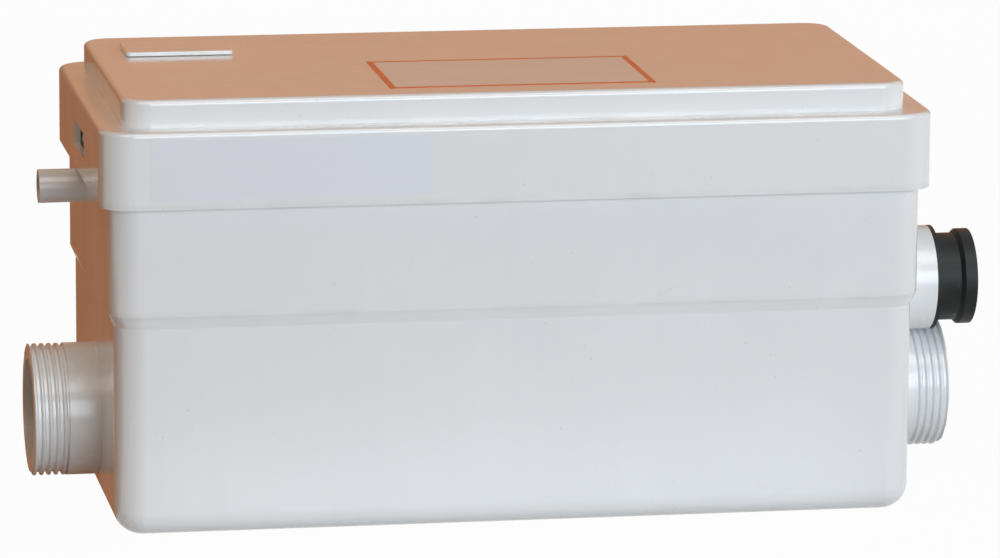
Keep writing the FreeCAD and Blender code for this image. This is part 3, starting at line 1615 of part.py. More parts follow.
def make_pressure_bell():
    """Make the open-bottomed bell that traps air as the water rises."""
    body = new_body("PressureBell")
    inner = d.bell_radius - d.bell_wall
    rim_inside = d.bell_flange_radius - d.bell_rim_width
    points = [
        (inner, d.bell_mouth_height),
        (d.bell_radius, d.bell_mouth_height),
        (d.bell_radius, deck_top),
        (d.bell_flange_radius, deck_top),
        (d.bell_flange_radius, flange_top),
        (rim_inside, flange_top),
        (rim_inside - d.bell_recess, flange_top - d.bell_recess),
        (d.bell_throat_radius, flange_top - d.bell_recess),
        (d.bell_throat_radius, deck_height),
        (inner, deck_height),
    ]
    revolve(body, points)
    mouth = new_sketch(body, "XY_Plane", d.bell_mouth_height)
    rectangle(mouth, 0, 0, d.bell_radius + d.bell_wall, d.bell_slot_width / 2)
    pocket(body, mouth, d.bell_slot_height, back=True)
    place(body, d.bell_x, d.bell_y)
    return keep(body, "pressure_bell")


def make_switch_diaphragm():
    """Make the rubber diaphragm clamped over the bell."""
    body = new_body("SwitchDiaphragm")
    top = flange_top + d.diaphragm_thickness
    outer = d.bell_flange_radius
    fold = outer - d.fold_inset
    width = d.fold_width
    points = [
        (0, flange_top),
        (fold - width, flange_top),
        (fold, flange_top - d.fold_depth),
        (fold + width * 0.75, flange_top),
        (outer, flange_top),
        (outer, top),
        (fold + width * 1.25, top),
        (fold, top - d.fold_depth),
        (fold - width * 1.25, top),
        (0, top),
    ]
    revolve(body, points)
    place(body, d.bell_x, d.bell_y)
    return keep(body, "switch_diaphragm")


def make_switch_cap():
    """Make the cap that clamps the diaphragm and guides the plunger."""
    body = new_body("SwitchCap")
    wall = d.switch_cap_wall
    guide = d.plunger_radius + d.running_clearance
    outer = d.bell_flange_radius
    room = outer - d.switch_cap_rim
    points = [
        (room, cap_foot),
        (outer, cap_foot),
        (outer, cap_foot + wall),
        (room + wall, cap_foot + wall),
        (room - d.switch_cap_taper, cap_top),
        (guide, cap_top),
        (guide, cap_top - wall * 2),
        (guide + wall, cap_top - wall * 2),
        (guide + wall, cap_top - wall),
        (room - d.switch_cap_taper - wall / 2, cap_top - wall),
    ]
    revolve(body, points)
    place(body, d.bell_x, d.bell_y)
    return keep(body, "switch_cap")


def make_switch_plunger():
    """Make the plunger that rides on the diaphragm and works the microswitch."""
    body = new_body("SwitchPlunger")
    disc_top = plunger_foot + d.plunger_disc_thickness
    points = [
        (0, plunger_foot),
        (d.plunger_disc_radius, plunger_foot),
        (d.plunger_disc_radius, disc_top),
        (d.plunger_radius, disc_top + d.plunger_cone),
        (d.plunger_radius, plunger_top),
        (0, plunger_top),
    ]
    revolve(body, points)
    place(body, d.bell_x, d.bell_y)
    return keep(body, "switch_plunger")


def make_switch_button():
    """Make the microswitch's button."""
    base = (d.bell_x, d.bell_y, button_foot)
    return keep(cylinder("SwitchButton", base, d.button_radius, d.button_height * 2), "switch_button")


def make_microswitch():
    """Make the microswitch with its button's well and two screw holes."""
    low_y = d.bell_y - d.microswitch_depth / 2
    low = (d.bell_x - d.microswitch_length / 2, low_y, microswitch_foot)
    case = box("SwitchCase", low, (d.microswitch_length, d.microswitch_depth, d.microswitch_height))
    well_depth = d.button_height + d.plunger_travel + d.flap_gap
    well_base = (d.bell_x, d.bell_y, microswitch_foot)
    well = cylinder("SwitchWell", well_base, d.button_radius + d.running_clearance, well_depth)
    holes = []
    hole_height = microswitch_foot + d.microswitch_height / 2
    for index, end in enumerate((-1, 1)):
        base = (d.bell_x + end * d.microswitch_hole_pitch / 2, low_y, hole_height)
        name = f"SwitchHole{index}"
        holes.append(cylinder(name, base, d.screw_radius, d.microswitch_depth, "Y"))
    return keep(cut("Microswitch", case, well, *holes), "microswitch")


def make_switch_bracket():
    """Make the bracket that stands on the switch cap's rim and holds the microswitch."""
    width = d.microswitch_length + 2 * d.bracket_margin
    thickness = d.bracket_thickness
    left = d.bell_x - width / 2
    rear = d.bell_y + d.microswitch_depth / 2
    shelf_foot = cap_top + d.bracket_lift
    wall_top = microswitch_foot + d.microswitch_height + d.bracket_lift
    wall = box("BracketWall", (left, rear, shelf_foot), (width, thickness, wall_top - shelf_foot))
    leg_rear = d.bell_y + d.bell_flange_radius - d.bracket_inset
    shelf = box("BracketShelf", (left, rear, shelf_foot), (width, leg_rear - rear, thickness))
    leg_foot = cap_foot + d.switch_cap_wall
    leg_low = (left, leg_rear - thickness, leg_foot)
    leg = box("BracketLeg", leg_low, (width, thickness, shelf_foot + thickness - leg_foot))
    return keep(fuse("SwitchBracket", wall, shelf, leg), "switch_bracket")


def make_capacitor():
    """Make the run capacitor, a round can with two terminals, lying on the deck."""
    body = new_body("RunCapacitor")
    radius = d.capacitor_radius
    half = d.capacitor_length / 2
    soft = d.capacitor_round
    points = [
        (-half, 0),
        (half, 0),
        (half, radius - soft),
        (half - soft, radius),
        (soft - half, radius),
        (-half, radius - soft),
    ]
    revolve(body, points, axis="H_Axis")
    tabs = new_sketch(body, "YZ_Plane", half)
    for end in (-1, 1):
        rectangle(tabs, end * radius / 2, 0, d.tab_thickness / 2, d.tab_width / 2)
    pad(body, tabs, d.tab_length)
    place(body, d.capacitor_x, d.capacitor_y, capacitor_height)
    return keep(body, "run_capacitor")


def make_capacitor_clip():
    """Make the saddle clip that holds the capacitor down."""
    inner = d.capacitor_radius + d.running_clearance
    outer = d.capacitor_radius + d.clip_wall
    start = d.capacitor_x - d.clip_width / 2
    base = (start, d.capacitor_y, capacitor_height)
    ring = cylinder("ClipRing", base, outer, d.clip_width, "X")
    foot_half = outer + d.clip_foot
    foot_low = (start, d.capacitor_y - foot_half, deck_top)
    foot = box("ClipFoot", foot_low, (d.clip_width, 2 * foot_half, d.clip_wall))
    hollow = cylinder("ClipHollow", base, inner, d.clip_width, "X")
    mouth_low = (start, d.capacitor_y - d.clip_mouth / 2, capacitor_height)
    mouth = box("ClipMouth", mouth_low, (d.clip_width, d.clip_mouth, outer + d.clip_wall))
    return keep(cut("CapacitorClip", fuse("ClipBody", ring, foot), hollow, mouth), "capacitor_clip")


def make_terminal_block():
    """Make the terminal block with a well for each pole's screw and wire."""
    body = new_body("TerminalBlock")
    block = new_sketch(body, "XY_Plane", deck_top)
    rectangle(block, 0, 0, d.terminal_length / 2, d.terminal_depth / 2)
    pad(body, block, d.terminal_height * d.terminal_shoulder_share)
    crown = new_sketch(body, "XY_Plane", deck_top)
    rectangle(crown, 0, 0, d.terminal_length / 2, d.terminal_depth / 4)
    pad(body, crown, d.terminal_height)
    pitch = d.terminal_length / d.terminal_poles
    wells = new_sketch(body, "XY_Plane", deck_top + d.terminal_height)
    wires = new_sketch(body, "XZ_Plane", 0)
    wire_height = deck_top + d.terminal_height * d.terminal_wire_share
    for index in range(int(d.terminal_poles.number)):
        x = pitch * (index + 0.5) - d.terminal_length / 2
        circle(wells, x, 0, d.terminal_well_radius)
        circle(wires, x, wire_height, d.terminal_wire_radius)
    pocket(body, wells, d.terminal_height / 2)
    pocket(body, wires, d.terminal_depth * 2, both=True)
    place(body, d.terminal_x, d.terminal_y)
    return keep(body, "terminal_block")


def make_cable_gland():
    """Make the gland's body, whose thread passes the rear wall."""
    body = new_body("CableGland")
    inside = -(d.tank_wall + d.gland_nut_thickness + d.gland_thread_proud)
    cap = d.gland_thread_radius + d.gland_cap_wall
    points = [
        (inside, d.gland_bore_radius),
        (inside, d.gland_thread_radius),
        (0, d.gland_thread_radius),
        (0, d.gland_flange_radius),
        (d.gland_flange_thickness, d.gland_flange_radius),
        (d.gland_flange_thickness, cap),
        (d.gland_cap_length - d.gland_cap_bevel, cap),
        (d.gland_cap_length, cap - d.gland_cap_wall * 1.3),
        (d.gland_cap_length, d.gland_bore_radius),
    ]
    revolve(body, points, plane="YZ_Plane", axis="H_Axis")
    place(body, d.gland_x, half_depth, gland_height)
    return keep(body, "cable_gland")


def make_gland_nut():
    """Make the hexagon nut inside the rear wall."""
    prism = doc.addObject("Part::Prism", "GlandPrism")
    prism.Polygon = 6
    bind(prism, "Circumradius", d.gland_flange_radius)
    bind(prism, "Height", d.gland_nut_thickness)
    low_y = half_depth - d.tank_wall - d.gland_nut_thickness
    prism.Placement = FreeCAD.Placement(FreeCAD.Vector(), AXIS_TURN["Y"])
    place(prism, d.gland_x, low_y, gland_height)
    bore = d.gland_thread_radius + d.running_clearance
    hole = cylinder("GlandHole", (d.gland_x, low_y, gland_height), bore, d.gland_nut_thickness, "Y")
    return keep(cut("GlandNut", prism, hole), "gland_nut")


def check_document():
    """Stop if any object failed or any sub-part has no valid shape."""
    for item in doc.Objects:
        if "Invalid" in item.State or "Error" in item.State:
            raise RuntimeError(f"{item.Name} failed to recompute: {item.State}")
    for item in nodes:
        if item.Shape.isNull() or not item.Shape.isValid():
            raise RuntimeError(f"{item.Label} has no valid shape")


make_tank()
make_inlet_spigot(-1, "inlet_spigot_left")
make_inlet_spigot(1, "inlet_spigot_right")
make_tube(
    "DischargeSocket",
    "discharge_socket",
    boss_face,
    socket_reach,
    d.socket_bore_radius,
    d.socket_outer_radius,
    d.socket_y,
    socket_height,
)
make_tube(
    "VentNipple",
    "vent_nipple",
    -half_length,
    -nipple_reach,
    d.nipple_bore_radius,
    d.nipple_outer_radius,
    d.nipple_y,
    nipple_height,
)
make_cover()
make_vent_cover()
make_carbon_filter()
make_cover_gasket()
make_deck()
make_deck_screws()
make_inlet_flap(-1, "inlet_flap_left")
make_inlet_flap(1, "inlet_flap_right")
make_inlet_pins()
make_valve_housing()
make_outlet_flap()
make_outlet_pin()
make_outlet_sleeve()
make_pump_feet()
make_suction_plate()
make_volute_casing()
make_casing_screws()
make_discharge_hose()
make_hose_clamps()
make_seal_plate()
make_shaft_seal()
make_bearing(
    "LowerBearing",
    "lower_bearing",
    d.lower_journal_radius + d.running_clearance,
    d.lower_bearing_radius,
    lower_bearing_foot,
    d.lower_bearing_width,
)
make_bearing(
    "UpperBearing",
    "upper_bearing",
    d.upper_journal_radius + d.running_clearance,
    d.upper_bearing_radius,
    upper_bearing_foot,
    d.upper_bearing_width,
)
make_shaft()
make_rotor_core()
make_impeller()
make_impeller_nut()
make_motor_housing()
make_motor_cap()
make_tie_screws()
make_stator_core()
make_stator_windings()
make_pressure_bell()
make_switch_diaphragm()
make_switch_cap()
make_switch_plunger()
make_switch_button()
make_microswitch()
make_switch_bracket()
make_capacitor()
make_capacitor_clip()
make_terminal_block()
make_cable_gland()
make_gland_nut()

doc.recompute()
check_document()
for item in nodes:
    item.Shape.exportStep(f"parts/{item.Label}.step")
    print(item.Label, len(item.Shape.Solids), round(item.Shape.Volume, 1))
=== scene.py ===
"""Looks of a sewage lifting station, dressed over its construction model.

Lengths are in metres, in the frame of the construction model: X runs along the tank from the vent side
to the discharge side, Y from the front to the back, and Z up from the floor.
"""

import logging
import math
from collections.abc import Callable
from dataclasses import dataclass, field
from enum import Enum
from functools import cached_property

import bmesh
import bpy
from mathutils import Matrix, Vector


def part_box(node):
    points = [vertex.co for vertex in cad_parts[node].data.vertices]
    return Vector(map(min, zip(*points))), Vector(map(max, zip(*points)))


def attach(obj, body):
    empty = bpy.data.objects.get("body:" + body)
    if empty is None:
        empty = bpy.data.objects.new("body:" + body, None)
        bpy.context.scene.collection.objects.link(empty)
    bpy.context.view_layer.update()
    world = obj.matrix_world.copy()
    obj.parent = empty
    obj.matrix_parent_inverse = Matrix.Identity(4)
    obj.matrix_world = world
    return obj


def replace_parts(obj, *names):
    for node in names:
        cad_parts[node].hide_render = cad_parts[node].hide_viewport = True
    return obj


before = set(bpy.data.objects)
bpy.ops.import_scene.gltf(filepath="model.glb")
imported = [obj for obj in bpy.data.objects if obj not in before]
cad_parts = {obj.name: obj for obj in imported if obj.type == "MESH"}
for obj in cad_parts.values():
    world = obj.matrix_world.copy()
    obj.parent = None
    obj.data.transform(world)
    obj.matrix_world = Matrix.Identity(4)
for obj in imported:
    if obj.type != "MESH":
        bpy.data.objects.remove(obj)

LOG = logging.getLogger("lifting_station")
MILLI = 0.001

Colour = tuple[float, float, float]
Point = tuple[float, float, float]

WHITE: Colour = (1.0, 1.0, 1.0)


class Slot(Enum):
    """The material slots of the record."""

    TANK = "tank_plastic"
    COVER = "cover_plastic"
    RUBBER = "black_rubber"
    GREY = "grey_plastic"
    STAINLESS = "stainless"
    PUMP = "pump_plastic"
    MOTOR = "motor_aluminium"
    LAMINATION = "lamination_steel"
    COPPER = "copper_winding"
    ZINC = "zinc_steel"
    CAPACITOR = "capacitor_can"
    TERMINAL = "terminal_plastic"
    SWITCH = "switch_plastic"
    BUTTON = "button_plastic"
    GLAND = "gland_plastic"
    CARBON = "carbon_foam"


class Side(Enum):
    """The two ends of the tank."""

    LEFT = -1
    RIGHT = 1


class Element(Enum):
    """What an edit-mode selection picks."""

    VERTEX = "VERT"
    FACE = "FACE"


class Measure(Enum):
    """What a pattern of cells measures."""

    MIDDLE = "F1"
    EDGE = "DISTANCE_TO_EDGE"


class Signal:
    """One output on its way through a node tree. Arithmetic on it adds Math nodes."""

    def __init__(self, wiring: "Wiring", socket: bpy.types.NodeSocket) -> None:
        """Keeps the tree and the output socket that carries the value."""
        self.wiring = wiring
        self.socket = socket

    def math(self, operation: str, *others: object) -> "Signal":
        """Adds one Math node.

        Args:
            operation: Blender's name of the operation.
            others: the operands after this one.

        Returns:
            The node's result.
        """
        inputs = dict(enumerate((self, *others)))
        return self.wiring.node("ShaderNodeMath", {"operation": operation}, inputs)

    def __add__(self, other: object) -> "Signal":
        """This value plus another."""
        return self.math("ADD", other)

    def __mul__(self, other: object) -> "Signal":
        """This value times another."""
        return self.math("MULTIPLY", other)

    def __sub__(self, other: object) -> "Signal":
        """This value less another."""
        return self.math("SUBTRACT", other)

    def __rsub__(self, other: float) -> "Signal":
        """A number less this value."""
        return self.math("MULTIPLY", -1.0) + other

    def __pow__(self, other: object) -> "Signal":
        """This value to a power."""
        return self.math("POWER", other)

    __radd__ = __add__
    __rmul__ = __mul__

    def step(self, low: float, high: float) -> "Signal":
        """A soft step from 0 to 1.

        Args:
            low: the value at which the result is 0.
            high: the value at which it is 1. It may lie below low.

        Returns:
            The stepped value.
        """
        inputs = {"Value": self, "From Min": low, "From Max": high}
        return self.wiring.node("ShaderNodeMapRange", {"interpolation_type": "SMOOTHSTEP"}, inputs)

    def spread(self, low: float, high: float) -> "Signal":
        """This value, which runs from 0 to 1, spread between two numbers."""
        return self * (high - low) + low


class Wiring:
    """A node tree, and the one way to add nodes to it."""

    def __init__(self, tree: bpy.types.NodeTree, output: str) -> None:
        """Clears the tree and gives it an output.

        Args:
            tree: the nodes of a material or of the world.
            output: the type of its output node.
        """
        self.tree = tree
        self.tree.nodes.clear()
        self.surface = self.tree.nodes.new(output).inputs["Surface"]

    def node(self, kind: str, settings: dict[str, object] | None = None,
             inputs: dict[str | int, object] | None = None, output: str | int = 0) -> Signal:
        """Adds one node.

        Args:
            kind: the node's type.
            settings: its options, set before its sockets.
            inputs: a number, vector, colour or Signal for each socket by name or number.
            output: the socket that is read.

        Returns:
            The chosen output.
        """
        made = self.tree.nodes.new(kind)
        for name, value in (settings or {}).items():
            setattr(made, name, value)
        for key, value in (inputs or {}).items():
            socket = made.inputs[key]
            if isinstance(value, Signal):
                self.tree.links.new(value.socket, socket)
            else:
                socket.default_value = (*value, 1.0) if socket.type == "RGBA" else value
        return Signal(self, made.outputs[output])

    def show(self, shader: Signal) -> None:
        """Puts a shader on the output."""
        self.tree.links.new(shader.socket, self.surface)

    def seen(self) -> Signal:
        """Tells the rays that come from the camera, a mirror or glass from all others.

        Returns:
            1 for those rays and 0 for the others.
        """
        kinds = ("Camera", "Glossy", "Transmission")
        camera, mirror, glass = [
            self.node("ShaderNodeLightPath", output=f"Is {kind} Ray") for kind in kinds
        ]
        return camera.math("MAXIMUM", mirror).math("MAXIMUM", glass)


class Recipe(Wiring):
    """One material while its nodes are put together."""

    def __init__(self, name: str) -> None:
        """Starts an empty material."""
        self.material = bpy.data.materials.new(name)
        self.material.use_nodes = True
        super().__init__(self.material.node_tree, "ShaderNodeOutputMaterial")

    @cached_property
    def place(self) -> Signal:
        """Object coordinates, in metres."""
        return self.node("ShaderNodeTexCoord", output="Object")

    def stretched(self, stretch: Point) -> Signal:
        """Object coordinates with each axis multiplied by its own number."""
        inputs = {"Vector": self.place, "Scale": stretch}
        return self.node("ShaderNodeMapping", {"vector_type": "POINT"}, inputs)

    def axis(self, name: str) -> Signal:
        """One object coordinate, in metres."""
        return self.node("ShaderNodeSeparateXYZ", inputs={0: self.place}, output=name)

    def noise(self, size: float, detail: float = 3.0, stretch: Point = (1.0, 1.0, 1.0)) -> Signal:
        """Soft noise from 0 to 1.

        Args:
            size: the width of its patches, in metres.
            detail: how many finer layers it has.
            stretch: how much finer it is along each axis.

        Returns:
            The noise value.
        """
        inputs = {"Vector": self.stretched(stretch), "Scale": 1.0 / size, "Detail": detail}
        return self.node("ShaderNodeTexNoise", inputs=inputs, output="Fac")

    def cells(self, size: float, stretch: Point = (1.0, 1.0, 1.0),
              measure: Measure = Measure.MIDDLE) -> Signal:
        """Cells scattered through the piece.

        Args:
            size: the width of a cell, in metres.
            stretch: how much narrower it is along each axis.
            measure: what the distance is measured from.

        Returns:
            The distance from the cell's middle or edge, as a share of the cell.
        """
        inputs = {"Vector": self.stretched(stretch), "Scale": 1.0 / size}
        return self.node("ShaderNodeTexVoronoi", {"feature": measure.value}, inputs, "Distance")

    def blend(self, share: Signal, first: Colour | Signal, second: Colour | Signal) -> Signal:
        """A colour between two others.

        Args:
            share: how much of the second colour there is.
            first: the colour where share is 0.
            second: the colour where share is 1.

        Returns:
            The blended colour.
        """
        inputs = {0: share, 6: first, 7: second}
        return self.node("ShaderNodeMix", {"data_type": "RGBA"}, inputs, 2)

    def relief(self, *layers: tuple[Signal, float]) -> Signal:
        """A bumped normal.

        Args:
            layers: pairs of a height from 0 to 1 and the depth that it stands for, in metres.

        Returns:
            The normal.
        """
        height = sum((value * depth for value, depth in layers[1:]), layers[0][0] * layers[0][1])
        return self.node("ShaderNodeBump", inputs={"Strength": 1.0, "Distance": 1.0, "Height": height})

    def finish(self, **sockets: object) -> bpy.types.Material:
        """Puts a Principled shader on the material.

        Args:
            sockets: a number, colour or Signal for each. Their names have an underscore for each space.

        Returns:
            The finished material.
        """
        inputs = {name.replace("_", " "): value for name, value in sockets.items()}
        self.show(self.node("ShaderNodeBsdfPrincipled", inputs=inputs))
        return self.material


@dataclass(frozen=True)
class Finish:
    """What every finish has: its name, the record's slot, its colour and its roughness."""

    name: str
    slot: Slot
    colour: Colour
    roughness: float

    def material(self) -> bpy.types.Material:
        """The material of this name, made here unless the file already holds one."""
        return bpy.data.materials.get(self.name) or self.mix(Recipe(self.name))

    def mix(self, recipe: Recipe) -> bpy.types.Material:
        """Puts the nodes together. Each kind of finish has its own way."""
        raise NotImplementedError

    def shade(self, factor: float) -> Colour:
        """The finish's colour made darker or lighter."""
        return tuple(min(1.0, part * factor) for part in self.colour)


@dataclass(frozen=True)
class GlossPlastic(Finish):
    """Glossy injection-moulded plastic, lightly handled: mottled, smudged and finely scratched."""

    mottle: float = 0.045
    coat: float = 0.35
    cloud_size: float = 55.0 * MILLI
    streak_size: float = 12.0 * MILLI
    speck_size: float = 4.5 * MILLI
    speck_patch: float = 30.0 * MILLI
    speck_colour: Colour = (0.42, 0.41, 0.38)
    scratch_size: float = 20.0 * MILLI
    scratch_patch: float = 40.0 * MILLI
    scratch_depth: float = 0.01 * MILLI
    peel_size: float = 6.0 * MILLI
    peel_depth: float = 0.01 * MILLI
    sag_size: float = 45.0 * MILLI
    sag_depth: float = 0.03 * MILLI
    # Levels darkened by dust and painted shade, the height of that band, and the size of its patches
    seams: tuple[float, ...] = ()
    seam_height: float = 2.2 * MILLI
    dust_size: float = 18.0 * MILLI

    def mix(self, recipe: Recipe) -> bpy.types.Material:
        """White plastic with wiped smudges, dust specks, hairline scratches, and dust and painted shade
        along its seams.

        Args:
            recipe: the material that is put together.

        Returns:
            The finished material.
        """
        cloud = recipe.noise(self.cloud_size, 4.0).step(0.35, 0.68)
        streak = recipe.noise(self.streak_size, 3.0, (1.0, 1.0, 0.12)).step(0.45, 0.8)
        speck = recipe.cells(self.speck_size).step(0.085, 0.05)
        speck = speck * recipe.noise(self.speck_patch, 2.0).step(0.52, 0.62)
        scratch = recipe.cells(self.scratch_size, (1.6, 1.6, 0.16), Measure.EDGE).step(0.006, 0.0)
        scratch = scratch * recipe.noise(self.scratch_patch, 2.0).step(0.55, 0.7)
        white = recipe.blend(cloud * 0.6 + streak * 0.4, self.colour, self.shade(1.0 - self.mottle))
        grey = recipe.blend(speck * 0.45, white, self.speck_colour)
        if self.seams:
            # Dust and painted shade along the seams, blended toward the speck colour
            grey = recipe.blend(self.seam_dust_and_shade(recipe) * 0.16, grey, self.speck_colour)
        marked = recipe.blend(scratch * 0.22, grey, self.shade(0.72))
        rough = (cloud * 0.5 + streak * 0.5).spread(self.roughness, self.roughness + 0.10)
        relief = recipe.relief(
            (recipe.noise(self.peel_size, 2.0), self.peel_depth),
            (recipe.noise(self.sag_size, 1.0), self.sag_depth),
            (scratch, -self.scratch_depth),
        )
        return recipe.finish(
            Base_Color=marked, Roughness=rough + scratch * 0.1, Normal=relief,
            Coat_Weight=self.coat, Coat_Roughness=0.08, IOR=1.5,
        )

    def seam_dust_and_shade(self, recipe: Recipe) -> Signal:
        """Dust and painted shade in patches just above and below the level edges of the housing.

        Args:
            recipe: the material that is put together.

        Returns:
            How strong the dust and painted shade are at the point, from 0 to 1.
        """
        height = recipe.axis("Z")
        lines = [(height - level).math("ABSOLUTE").step(self.seam_height, 0.0) for level in self.seams]
        return sum(lines[1:], lines[0]) * recipe.noise(self.dust_size, 3.0).step(0.3, 0.7)


@dataclass(frozen=True)
class SatinPlastic(Finish):
    """Spark-eroded moulded plastic with a fine grain, rubbed smoother in places."""

    cloud_size: float = 20.0 * MILLI
    cloud_depth: float = 0.02 * MILLI
    grain_size: float = 0.6 * MILLI
    grain_depth: float = 0.012 * MILLI
    fibres: float = 0.0
    fibre_size: float = 2.8 * MILLI
    fibre_colour: Colour = (0.34, 0.34, 0.33)
    dust_size: float = 8.0 * MILLI
    dust_colour: Colour = (0.5, 0.48, 0.44)

    def mix(self, recipe: Recipe) -> bpy.types.Material:
        """Grained plastic, with short glass fibres near the surface where it is filled.

        Args:
            recipe: the material that is put together.

        Returns:
            The finished material.
        """
        cloud = recipe.noise(self.cloud_size, 4.0).step(0.3, 0.7)
        grain = recipe.noise(self.grain_size, 2.0)
        shade = recipe.blend(cloud, self.shade(0.9), self.shade(1.12))
        if self.fibres:
            fibre = recipe.cells(self.fibre_size, (3.0, 0.6, 1.4), Measure.EDGE).step(0.03, 0.0)
            shade = recipe.blend(fibre * self.fibres, shade, self.fibre_colour)
        dust = recipe.noise(self.dust_size, 5.0).step(0.52, 0.78)
        shade = recipe.blend(dust * 0.12, shade, self.dust_colour)
        rough = cloud.spread(self.roughness - 0.06, self.roughness + 0.07) + dust * 0.08
        relief = recipe.relief((grain, self.grain_depth), (cloud, self.cloud_depth))
        return recipe.finish(Base_Color=shade, Roughness=rough, Normal=relief, IOR=1.48)


@dataclass(frozen=True)
class Rubber(Finish):
    """Moulded rubber with a fine grain and a grey bloom."""

    chalk_size: float = 12.0 * MILLI
    chalk_depth: float = 0.04 * MILLI
    chalk_colour: Colour = (0.16, 0.155, 0.15)
    rub_size: float = 5.0 * MILLI
    rub_depth: float = 0.02 * MILLI
    grain_size: float = 0.4 * MILLI
    grain_depth: float = 0.016 * MILLI
    dust_size: float = 2.2 * MILLI
    dust_patch: float = 10.0 * MILLI
    dust_colour: Colour = (0.4, 0.38, 0.35)

    def mix(self, recipe: Recipe) -> bpy.types.Material:
        """Black rubber that has gone chalky in patches and carries handling dust.

        Args:
            recipe: the material that is put together.

        Returns:
            The finished material.
        """
        chalk = recipe.noise(self.chalk_size, 5.0).step(0.42, 0.78)
        rub = recipe.noise(self.rub_size, 3.0, (0.2, 1.0, 1.0)).step(0.5, 0.75)
        grain = recipe.noise(self.grain_size, 2.0)
        dust = recipe.cells(self.dust_size).step(0.13, 0.06)
        dust = dust * recipe.noise(self.dust_patch, 2.0).step(0.5, 0.62)
        shade = recipe.blend(chalk * 0.1, self.colour, self.chalk_colour)
        shade = recipe.blend(dust * 0.5, shade, self.dust_colour)
        rough = chalk.spread(self.roughness, self.roughness + 0.18) - rub * 0.08
        relief = recipe.relief(
            (grain, self.grain_depth), (chalk, self.chalk_depth), (rub, self.rub_depth)
        )
        return recipe.finish(
            Base_Color=shade, Roughness=rough, Normal=relief, IOR=1.5, Specular_IOR_Level=0.2,
        )


@dataclass(frozen=True)
class Metal(Finish):
    """Bare or plated metal with marks that run one way."""

    brush: Point = (1.0, 1.0, 0.05)
    brush_size: float = 0.8 * MILLI
    brush_depth: float = 0.006 * MILLI
    patch_size: float = 9.0 * MILLI
    patch_depth: float = 0.01 * MILLI
    tint: Colour = (0.55, 0.52, 0.42)
    tint_share: float = 0.15

    def mix(self, recipe: Recipe) -> bpy.types.Material:
        """Metal with drawn marks, thumbed patches and a faint stain.

        Args:
            recipe: the material that is put together.

        Returns:
            The finished material.
        """
        drawn = recipe.noise(self.brush_size, 3.0, self.brush)
        patch = recipe.noise(self.patch_size, 4.0).step(0.35, 0.7)
        shade = recipe.blend(drawn, self.shade(0.86), self.shade(1.08))
        shade = recipe.blend(patch * self.tint_share, shade, self.tint)
        rough = drawn.spread(self.roughness - 0.05, self.roughness + 0.08) + patch * 0.07
        relief = recipe.relief((drawn, self.brush_depth), (patch, self.patch_depth))
        return recipe.finish(Base_Color=shade, Roughness=rough, Metallic=1.0, Normal=relief)


@dataclass(frozen=True)
class CastMetal(Finish):
    """Die-cast aluminium under a thin paint, with the skin of the die."""

    skin_size: float = 1.1 * MILLI
    skin_depth: float = 0.03 * MILLI
    pit_size: float = 3.5 * MILLI
    pit_depth: float = 0.05 * MILLI
    flow_size: float = 25.0 * MILLI
    flow_depth: float = 0.03 * MILLI
    worn_size: float = 6.0 * MILLI

    def mix(self, recipe: Recipe) -> bpy.types.Material:
        """Pitted cast skin with painted shade in the pits, brighter where handling has worn the paint.

        Args:
            recipe: the material that is put together.

        Returns:
            The finished material.
        """
        skin = recipe.noise(self.skin_size, 4.0)
        pit = recipe.cells(self.pit_size).step(0.12, 0.04)
        flow = recipe.noise(self.flow_size, 4.0).step(0.35, 0.7)
        worn = recipe.noise(self.worn_size, 5.0).step(0.6, 0.72)
        shade = recipe.blend(flow, self.shade(0.85), self.shade(1.1))
        # Painted shade in the pits
        shade = recipe.blend(pit * 0.5, shade, self.shade(0.45))
        rough = skin.spread(self.roughness - 0.05, self.roughness + 0.12) - worn * 0.12
        relief = recipe.relief((skin, self.skin_depth), (pit, -self.pit_depth), (flow, self.flow_depth))
        return recipe.finish(
            Base_Color=shade, Roughness=rough, Metallic=worn.spread(0.55, 0.95), Normal=relief,
        )


@dataclass(frozen=True)
class Laminations(Finish):
    """Punched steel sheets stacked along Z, varnished and pressed."""

    sheet: float = 0.5 * MILLI
    gap_depth: float = 0.05 * MILLI
    gap_colour: Colour = (0.05, 0.035, 0.02)
    grain_size: float = 1.0 * MILLI
    grain_depth: float = 0.01 * MILLI
    varnish_size: float = 7.0 * MILLI
    varnish_colour: Colour = (0.2, 0.1, 0.04)

    def mix(self, recipe: Recipe) -> bpy.types.Material:
        """Fine level lines where the sheets meet, with a brown varnish in them.

        Args:
            recipe: the material that is put together.

        Returns:
            The finished material.
        """
        wave = (recipe.axis("Z") * (math.tau / self.sheet)).math("SINE").spread(0.5, 1.0)
        gap = wave.step(0.35, 0.05)
        varnish = recipe.noise(self.varnish_size, 4.0).step(0.4, 0.7)
        shade = recipe.blend(gap * 0.7, self.colour, self.gap_colour)
        shade = recipe.blend(varnish * 0.3, shade, self.varnish_colour)
        rough = varnish.spread(self.roughness, self.roughness + 0.2)
        grain = recipe.noise(self.grain_size, 2.0)
        relief = recipe.relief((gap, -self.gap_depth), (grain, self.grain_depth))
        return recipe.finish(Base_Color=shade, Roughness=rough, Metallic=0.85, Normal=relief)


